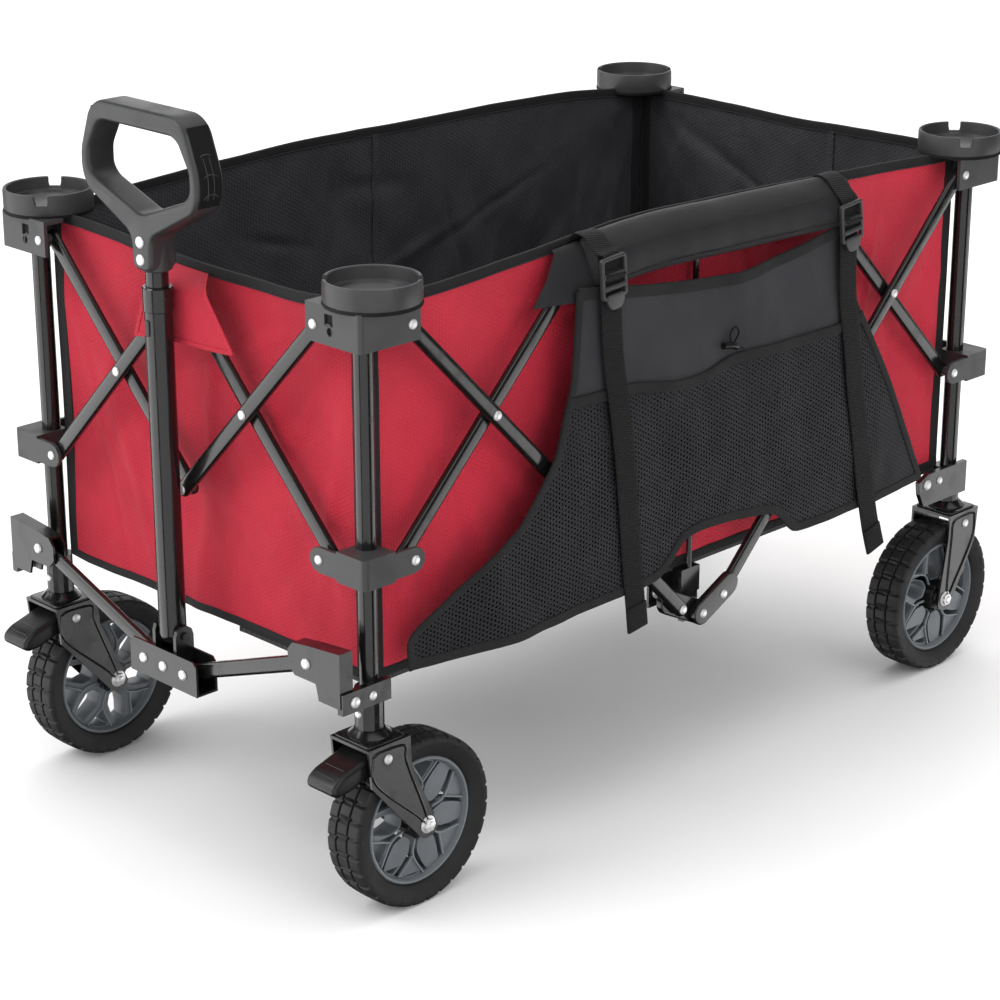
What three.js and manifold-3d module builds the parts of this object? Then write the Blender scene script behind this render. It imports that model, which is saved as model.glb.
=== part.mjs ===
// Folding utility wagon with a telescoping pull handle, four cup-dish corner caps and a side pocket.
// Millimetres, +Z up. Handle end at -Y, pocket side at +X. The frame is a four-way scissor.
import * as THREE from 'three';
import { mergeVertices } from 'three/addons/utils/BufferGeometryUtils.js';
import Module from 'manifold-3d';

// Corner posts stand on a rectangle
const HALF_W = 243;
const HALF_L = 446;
const POST_R = 9.5;
const POST_BOTTOM = 220;
const POST_TOP = 603.5;
const GAP = 0.3;

// Scissor bars: pivots sit PIVOT_IN towards the middle of each side from the post
const PIVOT_IN = 36;
const TOP_PIVOT_Z = 586;
const BAR_ANGLE = THREE.MathUtils.degToRad(44.5);
const CROSS_DIST = 158;
const CROSS_IN = CROSS_DIST * Math.sin(BAR_ANGLE);
const CROSS_Z = TOP_PIVOT_Z - CROSS_DIST * Math.cos(BAR_ANGLE);
const MID_PIVOT_Z = TOP_PIVOT_Z - 2 * CROSS_DIST * Math.cos(BAR_ANGLE);
const BAR_WIDTH = 16;
const BAR_THICK = 8;
const OUTER_LAYER = 18;
const INNER_LAYER = 9;
const SIDE_HUB_Z = 188;
const SIDE_BAR_END_IN = 31.6;
const SHORT_TOP_IN = 190;

// Corner caps, cup dishes and sliding clamps
const WALL_OUT = 27;
const WALL_IN = 23;
const WING_END = 46;
const CAP_BOTTOM = 570;
const CAP_TOP = 606;
const DISH_RIM_Z = 628;
const DISH_R = 45;
const DISH_IN = 13;
const CLAMP_HALF = 15;

// Lower front linkage and handle
const LINK_BOLT_IN = 33;
const LINK_BOLT_Z = 264;
const YOKE_PIN_X = 31;
const YOKE_PIN_Z = 199;
const LINK_Y = -485.5;
const LINK_THICK = 9;
const HANDLE_Y = -486;
const HANDLE_PIVOT_Z = 232;
const TUBE_R = 13.5;
const TUBE_BORE = 11.3;
const SLIDER_R = 11;
const TUBE_TOP = 583;
const SLIDER_BOTTOM = 300;
const SLIDER_TOP = 640;
const GRIP_NECK_Z = 600;
const GRIP_FRONT_Y = -504;
const GRIP_BACK_Y = -475;

// Wheels and forks
const WHEEL_R = 87;
const AXLE_Z = 87;
const TYRE_HALF = 22;
const RIM_R = 66;
const FORK_TOP = 187;
const LEG_IN = 24.5;
const LEG_OUT = 27;
const FRONT_TRAIL = 48;
const REAR_TRAIL = 28;

// Fabric box
const PANEL_NEAR = 4;
const PANEL_FAR = 8;
const FLOOR_BOTTOM = 238;
const FLOOR_TOP = 244;
const RIM_Z = 602;

const wasm = await Module();
wasm.setup();

const wagon = new THREE.Group();
wagon.name = 'folding_wagon';

function signedVolume(position, index) {
  const a = new THREE.Vector3();
  const b = new THREE.Vector3();
  const c = new THREE.Vector3();
  let sum = 0;
  for (let i = 0; i < index.length; i += 3) {
    a.fromBufferAttribute(position, index[i]);
    b.fromBufferAttribute(position, index[i + 1]);
    c.fromBufferAttribute(position, index[i + 2]);
    sum += a.dot(b.cross(c));
  }
  return sum / 6;
}

// Position-only, welded, outward-facing copy of a geometry
function clean(geometry) {
  const bare = new THREE.BufferGeometry();
  bare.setAttribute('position', geometry.getAttribute('position').clone());
  if (geometry.index) {
    bare.setIndex(geometry.index.clone());
  }
  const welded = mergeVertices(bare, 1e-4);
  const kept = [];
  const source = welded.index.array;
  for (let i = 0; i < source.length; i += 3) {
    const [p, q, r] = [source[i], source[i + 1], source[i + 2]];
    if (p !== q && q !== r && p !== r) {
      kept.push(p, q, r);
    }
  }
  if (signedVolume(welded.attributes.position, kept) < 0) {
    kept.reverse();
  }
  welded.setIndex(kept);
  return welded;
}

function toManifold(geometry) {
  const solid = clean(geometry);
  return new wasm.Manifold(new wasm.Mesh({
    numProp: 3,
    vertProperties: new Float32Array(solid.attributes.position.array),
    triVerts: new Uint32Array(solid.index.array),
  }));
}

function fromManifold(solid) {
  const mesh = solid.getMesh();
  const geometry = new THREE.BufferGeometry();
  geometry.setAttribute('position', new THREE.BufferAttribute(new Float32Array(mesh.vertProperties), 3));
  geometry.setIndex(Array.from(mesh.triVerts));
  return geometry;
}

function join(...parts) {
  return fromManifold(parts.map(toManifold).reduce((sum, part) => sum.add(part)));
}

function cut(body, ...tools) {
  return fromManifold(tools.map(toManifold).reduce((rest, tool) => rest.subtract(tool), toManifold(body)));
}

function add(name, geometry, material) {
  const solid = clean(geometry);
  solid.computeVertexNormals();
  const mesh = new THREE.Mesh(solid, new THREE.MeshStandardMaterial(material));
  mesh.name = name;
  wagon.add(mesh);
}

const STEEL = { color: 0x2b2c2e, roughness: 0.35, metalness: 0.7 };
const DARK_STEEL = { color: 0x1b1b1c, roughness: 0.45, metalness: 0.6 };
const PLASTIC = { color: 0x4a4b4e, roughness: 0.6, metalness: 0.0 };
const BLACK_PLASTIC = { color: 0x262628, roughness: 0.6, metalness: 0.0 };
const RUBBER = { color: 0x2a2a2b, roughness: 0.85, metalness: 0.0 };
const RIM_PLASTIC = { color: 0x59636b, roughness: 0.55, metalness: 0.0 };
const RED_FABRIC = { color: 0xa3263a, roughness: 0.85, metalness: 0.0 };
const BLACK_FABRIC = { color: 0x2c2c30, roughness: 0.9, metalness: 0.0 };

// Box given by its low and high corners
function block(low, high) {
  const size = high.map((value, i) => value - low[i]);
  const geometry = new THREE.BoxGeometry(...size);
  return geometry.translate(...low.map((value, i) => value + size[i] / 2));
}

// Round bar along an axis (0 = X, 1 = Y, 2 = Z) through a point
function rod(axis, radius, length, centre, segments = 16) {
  const geometry = new THREE.CylinderGeometry(radius, radius, length, segments);
  if (axis === 0) {
    geometry.rotateZ(Math.PI / 2);
  }
  if (axis === 2) {
    geometry.rotateX(Math.PI / 2);
  }
  return geometry.translate(...centre);
}

// Solid turned about Z from (radius, height) pairs that start and end on the axis or close on themselves
function turned(profile, segments) {
  const points = profile.map(([r, z]) => new THREE.Vector2(r, z));
  return new THREE.LatheGeometry(points, segments).rotateX(Math.PI / 2);
}

function outline(points, hole) {
  const shape = new THREE.Shape(points.map(([x, y]) => new THREE.Vector2(x, y)));
  if (hole) {
    shape.holes.push(new THREE.Path(hole.map(([x, y]) => new THREE.Vector2(x, y))));
  }
  return shape;
}

// Upright plate from low to high along the axis it faces: 'x' plates are drawn in (y, z), 'y' plates in (x, z)
function plate(facing, shape, low, high, bevel = 0) {
  const options = { depth: high - low - 2 * bevel, bevelEnabled: bevel > 0, curveSegments: 8 };
  options.bevelThickness = bevel;
  options.bevelSize = bevel;
  options.bevelOffset = -bevel;
  options.bevelSegments = 1;
  const geometry = new THREE.ExtrudeGeometry(shape, options).translate(0, 0, bevel);
  const basis = new THREE.Matrix4();
  if (facing === 'x') {
    basis.makeBasis(new THREE.Vector3(0, 1, 0), new THREE.Vector3(0, 0, 1), new THREE.Vector3(1, 0, 0));
    basis.setPosition(low, 0, 0);
  } else {
    basis.makeBasis(new THREE.Vector3(-1, 0, 0), new THREE.Vector3(0, 0, 1), new THREE.Vector3(0, 1, 0));
    basis.setPosition(0, low, 0);
    geometry.scale(-1, 1, 1);
  }
  return clean(geometry.applyMatrix4(basis));
}

function capsule(a, b, radius, steps = 5) {
  const angle = Math.atan2(b[1] - a[1], b[0] - a[0]);
  const points = [];
  for (let i = 0; i <= steps; i += 1) {
    const t = angle + Math.PI / 2 + (Math.PI * i) / steps;
    points.push([a[0] + radius * Math.cos(t), a[1] + radius * Math.sin(t)]);
  }
  for (let i = 0; i <= steps; i += 1) {
    const t = angle - Math.PI / 2 + (Math.PI * i) / steps;
    points.push([b[0] + radius * Math.cos(t), b[1] + radius * Math.sin(t)]);
  }
  return outline(points);
}

// Low domed rivet head whose seat is at the point and whose crown looks along a direction
function rivet(point, direction, radius = 4.5, height = 1.6) {
  const profile = [[0, -1], [radius, -1], [radius, height * 0.4], [radius * 0.6, height], [0, height]];
  const geometry = turned(profile, 8);
  const turn = new THREE.Quaternion();
  turn.setFromUnitVectors(new THREE.Vector3(0, 0, 1), new THREE.Vector3(...direction));
  return geometry.applyQuaternion(turn).translate(...point);
}

const CORNERS = [
  { tag: 'fl', sx: -1, sy: -1 },
  { tag: 'fr', sx: 1, sy: -1 },
  { tag: 'rl', sx: -1, sy: 1 },
  { tag: 'rr', sx: 1, sy: 1 },
];

// Corner parts are drawn around a post with both outward directions positive, then mirrored into place
function atCorner(geometry, corner) {
  return clean(geometry.scale(corner.sx, corner.sy, 1).translate(corner.sx * HALF_W, corner.sy * HALF_L, 0));
}

function dish() {
  const profile = [
    [0, CAP_TOP - 3], [39, CAP_TOP - 3], [40, CAP_TOP + 2], [DISH_R - 1, CAP_TOP + 4],
    [DISH_R, DISH_RIM_Z], [DISH_R - 2.5, DISH_RIM_Z], [DISH_R - 3.5, CAP_TOP + 6], [0, CAP_TOP + 6],
  ];
  const body = turned(profile, 26).translate(0, -DISH_IN, 0);
  const slots = [1, -1].map((side) => {
    const slot = block([DISH_R - 8, -6.5, DISH_RIM_Z - 10], [DISH_R + 4, 6.5, DISH_RIM_Z + 2]);
    return slot.rotateZ(side > 0 ? -Math.PI / 4 : Math.PI * 0.75).translate(0, -DISH_IN, 0);
  });
  return cut(body, ...slots);
}

// bossEnd is set where the bar pivoting on the end wing lies in the inner layer
function cap(bossEnd) {
  const plan = new THREE.Shape();
  plan.moveTo(-WING_END, WALL_IN);
  plan.lineTo(-11.5, WALL_IN);
  plan.lineTo(-11.5, -11.5);
  plan.lineTo(WALL_IN, -11.5);
  plan.lineTo(WALL_IN, -WING_END);
  plan.lineTo(WALL_OUT, -WING_END);
  plan.lineTo(WALL_OUT, WALL_OUT - 5);
  plan.quadraticCurveTo(WALL_OUT, WALL_OUT, WALL_OUT - 5, WALL_OUT);
  plan.lineTo(-WING_END, WALL_OUT);
  const options = { depth: CAP_TOP - CAP_BOTTOM, bevelEnabled: false, curveSegments: 4 };
  const walls = new THREE.ExtrudeGeometry(plan, options).translate(0, 0, CAP_BOTTOM);
  const deckPlan = [
    [-WING_END + 0.01, 3], [3, 3], [3, -WING_END + 0.01],
    [25, -WING_END + 0.01], [25, 25], [-WING_END + 0.01, 25],
  ];
  const deck = new THREE.ExtrudeGeometry(outline(deckPlan), { depth: 4, bevelEnabled: false });
  const parts = [walls, deck.translate(0, 0, CAP_TOP - 4.01), dish()];
  if (bossEnd) {
    parts.push(rod(1, 5, WALL_IN - 13.5 + 1, [-PIVOT_IN, (WALL_IN + 1 + 13.5) / 2, TOP_PIVOT_Z], 14));
  }
  parts.push(rivet([-PIVOT_IN, WALL_OUT, TOP_PIVOT_Z], [0, 1, 0]));
  parts.push(rivet([WALL_OUT, -PIVOT_IN, TOP_PIVOT_Z], [1, 0, 0]));
  const boreMiddle = (POST_TOP + GAP + CAP_BOTTOM) / 2 - 1;
  const bore = rod(2, POST_R + GAP, POST_TOP + GAP - CAP_BOTTOM + 2, [0, 0, boreMiddle], 16);
  const keyTop = block([-20, WALL_OUT - 3, 588], [-9, WALL_OUT + 1, 599]);
  const keyBottom = rod(1, 4.2, 4, [-13, WALL_OUT - 1, 583], 10);
  return cut(join(...parts), bore, keyTop, keyBottom);
}

function clamp(bossEnd) {
  const low = MID_PIVOT_Z - CLAMP_HALF;
  const high = MID_PIVOT_Z + CLAMP_HALF;
  const plan = new THREE.Shape();
  plan.moveTo(-11.5, WALL_OUT);
  plan.lineTo(-11.5, -8);
  plan.lineTo(-8, -11.5);
  plan.lineTo(WALL_OUT, -11.5);
  plan.lineTo(WALL_OUT, WALL_OUT - 6);
  plan.quadraticCurveTo(WALL_OUT, WALL_OUT, WALL_OUT - 6, WALL_OUT);
  const core = new THREE.ExtrudeGeometry(plan, { depth: high - low, bevelEnabled: false, curveSegments: 4 });
  const wing = capsule([-PIVOT_IN, MID_PIVOT_Z], [0, MID_PIVOT_Z], CLAMP_HALF - 2.5);
  const parts = [
    core.translate(0, 0, low),
    plate('y', wing, WALL_IN, WALL_OUT - 0.01),
    plate('x', wing, WALL_IN, WALL_OUT - 0.01),
    rivet([-PIVOT_IN, WALL_OUT - 0.01, MID_PIVOT_Z], [0, 1, 0]),
    rivet([WALL_OUT - 0.01, -PIVOT_IN, MID_PIVOT_Z], [1, 0, 0]),
    rod(0, 5, WALL_IN - 13.5 + 1, [(WALL_IN + 1 + 13.5) / 2, -PIVOT_IN, MID_PIVOT_Z], 14),
  ];
  if (bossEnd) {
    parts.push(rod(1, 5, WALL_IN - 13.5 + 1, [-PIVOT_IN, (WALL_IN + 1 + 13.5) / 2, MID_PIVOT_Z], 14));
  }
  return cut(join(...parts), rod(2, POST_R + GAP, high - low + 4, [0, 0, MID_PIVOT_Z], 16));
}

// Sleeve under each post that also takes the caster stem from below
const SLEEVE_R = 14;
const SLEEVE_BOTTOM = 197;
const SLEEVE_TOP = 237.5;
const STEM_R = 6;

function sleeveBores() {
  return [
    rod(2, POST_R + GAP, 40, [0, 0, POST_BOTTOM - GAP + 20], 16),
    rod(2, STEM_R + GAP, 20, [0, 0, SLEEVE_BOTTOM + 9], 16),
  ];
}

function frontFoot() {
  const face = outline([
    [-59, 257], [-59, 272], [-52, 280], [-30, 283], [14, 287], [14, 232], [-16, 232], [-20, 248], [-50, 248],
  ]);
  const lid = outline([[-52, 280], [-30, 283], [13.9, 287], [13.9, 284.2], [-30, 280.2], [-52, 277.2]]);
  const sleeve = rod(2, SLEEVE_R, SLEEVE_TOP - SLEEVE_BOTTOM, [0, 0, (SLEEVE_TOP + SLEEVE_BOTTOM) / 2], 16);
  const parts = [
    sleeve,
    plate('y', face, 45.5, 48),
    plate('y', face, 32, 34.5),
    plate('y', lid, 32.01, 47.99),
    block([11.5, 32.5, 232.5], [13.99, 47.5, 286]),
    block([9, -13, 226], [16.5, 47, 247]),
    rivet([-LINK_BOLT_IN, 48, LINK_BOLT_Z], [0, 1, 0], 5, 2.2),
    rivet([16.5, 32, 236], [1, 0, 0], 5, 2.2),
    rivet([16.5, 10, 236], [1, 0, 0], 4, 1.6),
    rivet([0, SLEEVE_R - 0.3, 213], [0, 1, 0], 3.5, 1.6),
  ];
  return cut(join(...parts), ...sleeveBores());
}

function rearFoot() {
  const ear = outline([[14, 206], [14, 243], [-58, 243], [-74, 236], [-72, 222], [-64, 206]]);
  const sleeve = rod(2, SLEEVE_R, SLEEVE_TOP - SLEEVE_BOTTOM, [0, 0, (SLEEVE_TOP + SLEEVE_BOTTOM) / 2], 16);
  const parts = [
    sleeve,
    plate('x', ear, 10, 16),
    block([-15, -14, 206.5], [15, 15.5, 237.4]),
    rivet([16, -60, 231], [1, 0, 0], 5.5, 2.2),
    rivet([16, -37, 231], [1, 0, 0], 4, 1.6),
  ];
  return cut(join(...parts), ...sleeveBores());
}

function fork(trail) {
  const leg = new THREE.Shape();
  leg.moveTo(26, FORK_TOP);
  leg.lineTo(22, 147);
  leg.lineTo(-trail + 11, 78.5);
  leg.absarc(-trail, AXLE_Z, 14, -0.65, Math.PI + 0.36, true);
  leg.lineTo(-28, 158);
  leg.lineTo(-27, FORK_TOP);
  const top = outline([[-LEG_OUT, -27], [LEG_OUT, -27], [LEG_OUT, 26], [-LEG_OUT, 26]]);
  const deck = new THREE.ExtrudeGeometry(top, { depth: 3, bevelEnabled: false }).translate(0, 0, FORK_TOP - 3);
  const cone = [
    [0, FORK_TOP - 1], [20, FORK_TOP - 1], [20, FORK_TOP + 3], [14, FORK_TOP + 9.5], [0, FORK_TOP + 9.5],
  ];
  const parts = [
    deck,
    plate('x', leg, LEG_IN, LEG_OUT - 0.01),
    plate('x', leg, -LEG_OUT + 0.01, -LEG_IN),
    turned(cone, 16),
    rod(2, STEM_R, 28, [0, 0, FORK_TOP + 13], 16),
    rod(0, 4, 2 * LEG_OUT + 2, [0, -trail, AXLE_Z], 12),
    rod(0, 6.5, 4, [LEG_OUT + 1.5, -trail, AXLE_Z], 6),
    rod(0, 6.5, 4, [-LEG_OUT - 1.5, -trail, AXLE_Z], 6),
    rivet([LEG_OUT - 0.01, 2, 172], [1, 0, 0], 4, 1.6),
    rivet([-LEG_OUT + 0.01, 2, 172], [-1, 0, 0], 4, 1.6),
  ];
  return join(...parts);
}

function brakeLever() {
  const side = outline([
    [-5, 168], [-5, 175], [0, 179], [16, 178], [34, 171], [56, 164], [64, 158], [64, 151], [58, 146], [40, 147],
    [20, 156], [8, 163],
  ]);
  return plate('x', side, -20, 20, 1.5);
}

function tyre(y) {
  const profile = [
    [RIM_R, -15], [78, -20], [84, -TYRE_HALF], [WHEEL_R - 1, -14], [WHEEL_R, 0], [WHEEL_R - 1, 14],
    [84, TYRE_HALF], [78, 20], [RIM_R, 15], [RIM_R, -15],
  ];
  return turned(profile, 28).rotateY(Math.PI / 2).translate(0, y, AXLE_Z);
}

function wheelHub(y) {
  const outer = RIM_R - GAP;
  const ring = turned([[57, -14], [outer, -14], [outer, 14], [57, 14], [57, -14]], 28);
  const parts = [ring, turned([[0, -19], [16, -19], [18, -12], [18, 12], [16, 19], [0, 19]], 14)];
  for (let i = 0; i < 6; i += 1) {
    const spoke = block([10, -4, -11], [60, 4, 11]);
    parts.push(spoke.rotateZ((Math.PI * i) / 3 + 0.26));
  }
  const body = cut(join(...parts), rod(2, 4 + GAP, 60, [0, 0, 0], 12));
  return body.rotateY(Math.PI / 2).translate(0, y, AXLE_Z);
}

for (const corner of CORNERS) {
  const { tag, sx, sy } = corner;
  const front = sy < 0;
  const trail = front ? FRONT_TRAIL : REAR_TRAIL;
  const post = rod(2, POST_R, POST_TOP - POST_BOTTOM, [0, 0, (POST_TOP + POST_BOTTOM) / 2], 16);
  add(`post_${tag}`, atCorner(post, corner), STEEL);
  add(`cap_${tag}`, atCorner(cap(sx < 0), corner), PLASTIC);
  add(`clamp_${tag}`, atCorner(clamp(sx > 0), corner), PLASTIC);
  add(`foot_${tag}`, atCorner(front ? frontFoot() : rearFoot(), corner), DARK_STEEL);
  add(`fork_${tag}`, atCorner(fork(trail), corner), DARK_STEEL);
  add(`tyre_${tag}`, atCorner(tyre(-trail), corner), RUBBER);
  add(`hub_${tag}`, atCorner(wheelHub(-trail), corner), RIM_PLASTIC);
  if (front) {
    add(`brake_lever_${tag}`, atCorner(brakeLever(), corner), BLACK_PLASTIC);
  }
}

// Bar lying in the front or rear panel (across X) or in a side panel (across Y)
function panelPlate(panel, shape, layer) {
  const base = panel.across === 'x' ? HALF_L : HALF_W;
  const centre = base + layer;
  const [low, high] = [centre - BAR_THICK / 2, centre + BAR_THICK / 2];
  const [from, to] = panel.sign > 0 ? [low, high] : [-high, -low];
  return plate(panel.across === 'x' ? 'y' : 'x', shape, from, to, 1.5);
}

function panelPoint(panel, along, z, outwards) {
  if (panel.across === 'x') {
    return [along, panel.sign * (HALF_L + outwards), z];
  }
  return [panel.sign * (HALF_W + outwards), along, z];
}

function panelRivet(panel, along, z, layer) {
  const point = panelPoint(panel, along, z, layer + BAR_THICK / 2);
  return rivet(point, panelPoint(panel, 0, 0, 1).map((value, i) => value - panelPoint(panel, 0, 0, 0)[i]));
}

const END_PANELS = [
  { name: 'front', across: 'x', sign: -1 },
  { name: 'rear', across: 'x', sign: 1 },
];
const SIDE_PANELS = [
  { name: 'left', across: 'y', sign: -1 },
  { name: 'right', across: 'y', sign: 1 },
];

// End panels: long bars meet low in the middle, short bars meet high in the middle
for (const panel of END_PANELS) {
  for (const side of [-1, 1]) {
    const tag = side < 0 ? 'l' : 'r';
    const start = side * (HALF_W - PIVOT_IN);
    const run = (HALF_W - PIVOT_IN) / Math.tan(BAR_ANGLE);
    const cross = side * (HALF_W - PIVOT_IN - CROSS_IN);
    const longLayer = side < 0 ? INNER_LAYER : OUTER_LAYER;
    const shortLayer = side < 0 ? OUTER_LAYER : INNER_LAYER;
    const lowMeet = [0, TOP_PIVOT_Z - run];
    const highMeet = [0, MID_PIVOT_Z + run];
    const longBar = capsule([start, TOP_PIVOT_Z], lowMeet, BAR_WIDTH / 2);
    const shortBar = capsule([start, MID_PIVOT_Z], highMeet, BAR_WIDTH / 2);
    const longParts = [panelPlate(panel, longBar, longLayer)];
    const shortParts = [panelPlate(panel, shortBar, shortLayer)];
    const outerParts = side < 0 ? shortParts : longParts;
    outerParts.push(panelRivet(panel, cross, CROSS_Z, OUTER_LAYER));
    outerParts.push(panelRivet(panel, 0, (side < 0 ? highMeet : lowMeet)[1], OUTER_LAYER));
    add(`${panel.name}_long_${tag}`, join(...longParts), STEEL);
    add(`${panel.name}_short_${tag}`, join(...shortParts), STEEL);
  }
}

// Side panels: long bars drop to a shared hub under the floor edge, short bars end under the rim
for (const panel of SIDE_PANELS) {
  for (const end of [-1, 1]) {
    const tag = end < 0 ? 'f' : 'r';
    const start = end * (HALF_L - PIVOT_IN);
    const cross = end * (HALF_L - PIVOT_IN - CROSS_IN);
    const stop = end * SIDE_BAR_END_IN;
    const stopZ = TOP_PIVOT_Z - (HALF_L - PIVOT_IN - SIDE_BAR_END_IN) / Math.tan(BAR_ANGLE);
    const hubLayer = end < 0 ? INNER_LAYER : OUTER_LAYER;
    const tongue = capsule([end * 42, stopZ + 8], [0, SIDE_HUB_Z], 13);
    const longParts = [
      panelPlate(panel, capsule([start, TOP_PIVOT_Z], [stop, stopZ], BAR_WIDTH / 2), OUTER_LAYER),
      panelPlate(panel, tongue, hubLayer + (end < 0 ? 0.25 : 0)),
      panelRivet(panel, cross, CROSS_Z, OUTER_LAYER),
      panelRivet(panel, stop, stopZ, OUTER_LAYER),
    ];
    if (end > 0) {
      longParts.push(panelRivet(panel, 0, SIDE_HUB_Z, OUTER_LAYER));
    } else {
      const pad = capsule([end * 42, stopZ + 10], [end * 34, stopZ + 2], 7);
      longParts.push(panelPlate(panel, pad, (OUTER_LAYER + INNER_LAYER) / 2));
    }
    const topZ = MID_PIVOT_Z + (HALF_L - PIVOT_IN - SHORT_TOP_IN) / Math.tan(BAR_ANGLE);
    const short = capsule([start, MID_PIVOT_Z], [end * SHORT_TOP_IN, topZ], BAR_WIDTH / 2);
    add(`${panel.name}_long_${tag}`, join(...longParts), STEEL);
    add(`${panel.name}_short_${tag}`, panelPlate(panel, short, INNER_LAYER), STEEL);
  }
}

// Level centre post on each side hub, with its stop block and the tab that carries the floor bolt
for (const side of [-1, 1]) {
  const corner = { sx: side, sy: 1 };
  const parts = [
    rod(2, 3.2, 366, [0.3, 0, 413], 14),
    block([-17, -14, 206], [3.4, 14, 234]),
    block([-3, -11, 176], [3.4, 11, 207]),
    block([-17, -45, 196], [-14, -13, 233.5]),
    rivet([-14.01, -31, 211], [1, 0, 0], 6, 2.5),
  ];
  const placed = join(...parts).scale(corner.sx, 1, 1).translate(corner.sx * HALF_W, 0, 0);
  add(`side_post_${side < 0 ? 'l' : 'r'}`, placed, DARK_STEEL);
}

// Lower front links and the yoke they carry
for (const side of [-1, 1]) {
  const bolt = [side * (HALF_W - LINK_BOLT_IN), LINK_BOLT_Z];
  const shape = capsule(bolt, [side * YOKE_PIN_X, YOKE_PIN_Z], BAR_WIDTH / 2);
  const link = plate('y', shape, LINK_Y - LINK_THICK / 2, LINK_Y + LINK_THICK / 2, 1.5);
  add(`front_link_${side < 0 ? 'l' : 'r'}`, link, STEEL);
}

function yoke() {
  const wall = outline([[-52, 181], [52, 181], [52, 212], [47, 217], [-47, 217], [-52, 212]]);
  const cheek = capsule([HANDLE_Y, HANDLE_PIVOT_Z], [HANDLE_Y, 195], 11);
  const parts = [
    plate('y', wall, -500, -497.5),
    plate('y', wall, -476.5, -474),
    block([-51.9, -499, 181.01], [51.9, -475, 183.5]),
    plate('x', cheek, 14.2, 18.5),
    plate('x', cheek, -18.5, -14.2),
    rod(0, 4, 42, [0, HANDLE_Y, HANDLE_PIVOT_Z], 16),
  ];
  for (const x of [-YOKE_PIN_X, 0, YOKE_PIN_X]) {
    parts.push(rivet([x, -500, YOKE_PIN_Z], [0, -1, 0], 5, 2));
  }
  return join(...parts);
}

add('handle_yoke', yoke(), DARK_STEEL);

function handleTube() {
  const length = TUBE_TOP - HANDLE_PIVOT_Z;
  const shell = rod(2, TUBE_R, length, [0, HANDLE_Y, HANDLE_PIVOT_Z + length / 2], 20);
  const collar = rod(2, TUBE_R + 1.2, 22, [0, HANDLE_Y, TUBE_TOP - 11.01], 20);
  const ball = new THREE.SphereGeometry(TUBE_R, 20, 10).rotateX(Math.PI / 2);
  ball.translate(0, HANDLE_Y, HANDLE_PIVOT_Z);
  const boreMiddle = (TUBE_TOP + SLIDER_BOTTOM) / 2 - 2;
  const bore = rod(2, TUBE_BORE, TUBE_TOP - SLIDER_BOTTOM + 12, [0, HANDLE_Y, boreMiddle], 20);
  const pinHole = rod(0, 4 + GAP, 60, [0, HANDLE_Y, HANDLE_PIVOT_Z], 16);
  return cut(join(shell, collar, ball), bore, pinHole);
}

add('handle_tube', handleTube(), STEEL);
const sliderMiddle = (SLIDER_TOP + SLIDER_BOTTOM) / 2;
const slider = rod(2, SLIDER_R, SLIDER_TOP - SLIDER_BOTTOM, [0, HANDLE_Y, sliderMiddle], 20);
add('handle_slider', slider, STEEL);

function grip() {
  const half = [[14, GRIP_NECK_Z], [16, 634], [80, 666], [87, 682], [87, 702], [70, 744], [56, 754]];
  const innerHalf = [[4, 656], [66, 678], [72, 686], [72, 704], [58, 729], [50, 733]];
  const mirror = (points) => [...points, ...points.slice().reverse().map(([x, z]) => [-x, z])];
  const frame = outline(mirror(half), mirror(innerHalf));
  const body = plate('y', frame, GRIP_FRONT_Y, GRIP_BACK_Y, 4);
  const neck = rod(2, TUBE_R + 1.5, 40, [0, HANDLE_Y, GRIP_NECK_Z + 19.9], 20);
  const socketLow = GRIP_NECK_Z - 2;
  const socketHigh = SLIDER_TOP + GAP;
  const socketMiddle = (socketHigh + socketLow) / 2;
  const socket = rod(2, SLIDER_R + GAP, socketHigh - socketLow, [0, HANDLE_Y, socketMiddle], 20);
  const parts = [body, neck];
  for (const z of [611, 628]) {
    parts.push(rivet([0, GRIP_FRONT_Y, z], [0, -1, 0], 5.5, 1.8));
  }
  return cut(join(...parts), socket);
}

add('handle_grip', grip(), PLASTIC);

// Fabric box: four walls and a floor, each just clear of its neighbours
for (const panel of END_PANELS) {
  const half = HALF_W - 15;
  const dip = panel.sign < 0 ? 594 : 600;
  const wall = outline([
    [-half, FLOOR_BOTTOM], [half, FLOOR_BOTTOM], [half, RIM_Z - 2], [0, dip], [-half, RIM_Z - 2],
  ]);
  const [low, high] = [HALF_L - PANEL_FAR, HALF_L - PANEL_NEAR];
  const [from, to] = panel.sign > 0 ? [low, high] : [-high, -low];
  add(`panel_${panel.name}`, plate('y', wall, from, to), RED_FABRIC);
}

for (const panel of SIDE_PANELS) {
  const half = HALF_L - 12.5;
  const wall = outline([
    [-half, FLOOR_BOTTOM], [half, FLOOR_BOTTOM], [half, RIM_Z],
    [370, RIM_Z], [0, 618], [-370, RIM_Z], [-half, RIM_Z],
  ]);
  const [low, high] = [HALF_W - PANEL_FAR, HALF_W - PANEL_NEAR];
  const [from, to] = panel.sign > 0 ? [low, high] : [-high, -low];
  add(`panel_${panel.name}`, plate('x', wall, from, to), RED_FABRIC);
}

const floorX = HALF_W - PANEL_FAR - 0.4;
const floorY = HALF_L - PANEL_FAR - 0.4;
add('floor_mat', block([-floorX, -floorY, FLOOR_BOTTOM], [floorX, floorY, FLOOR_TOP]), BLACK_FABRIC);

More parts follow.
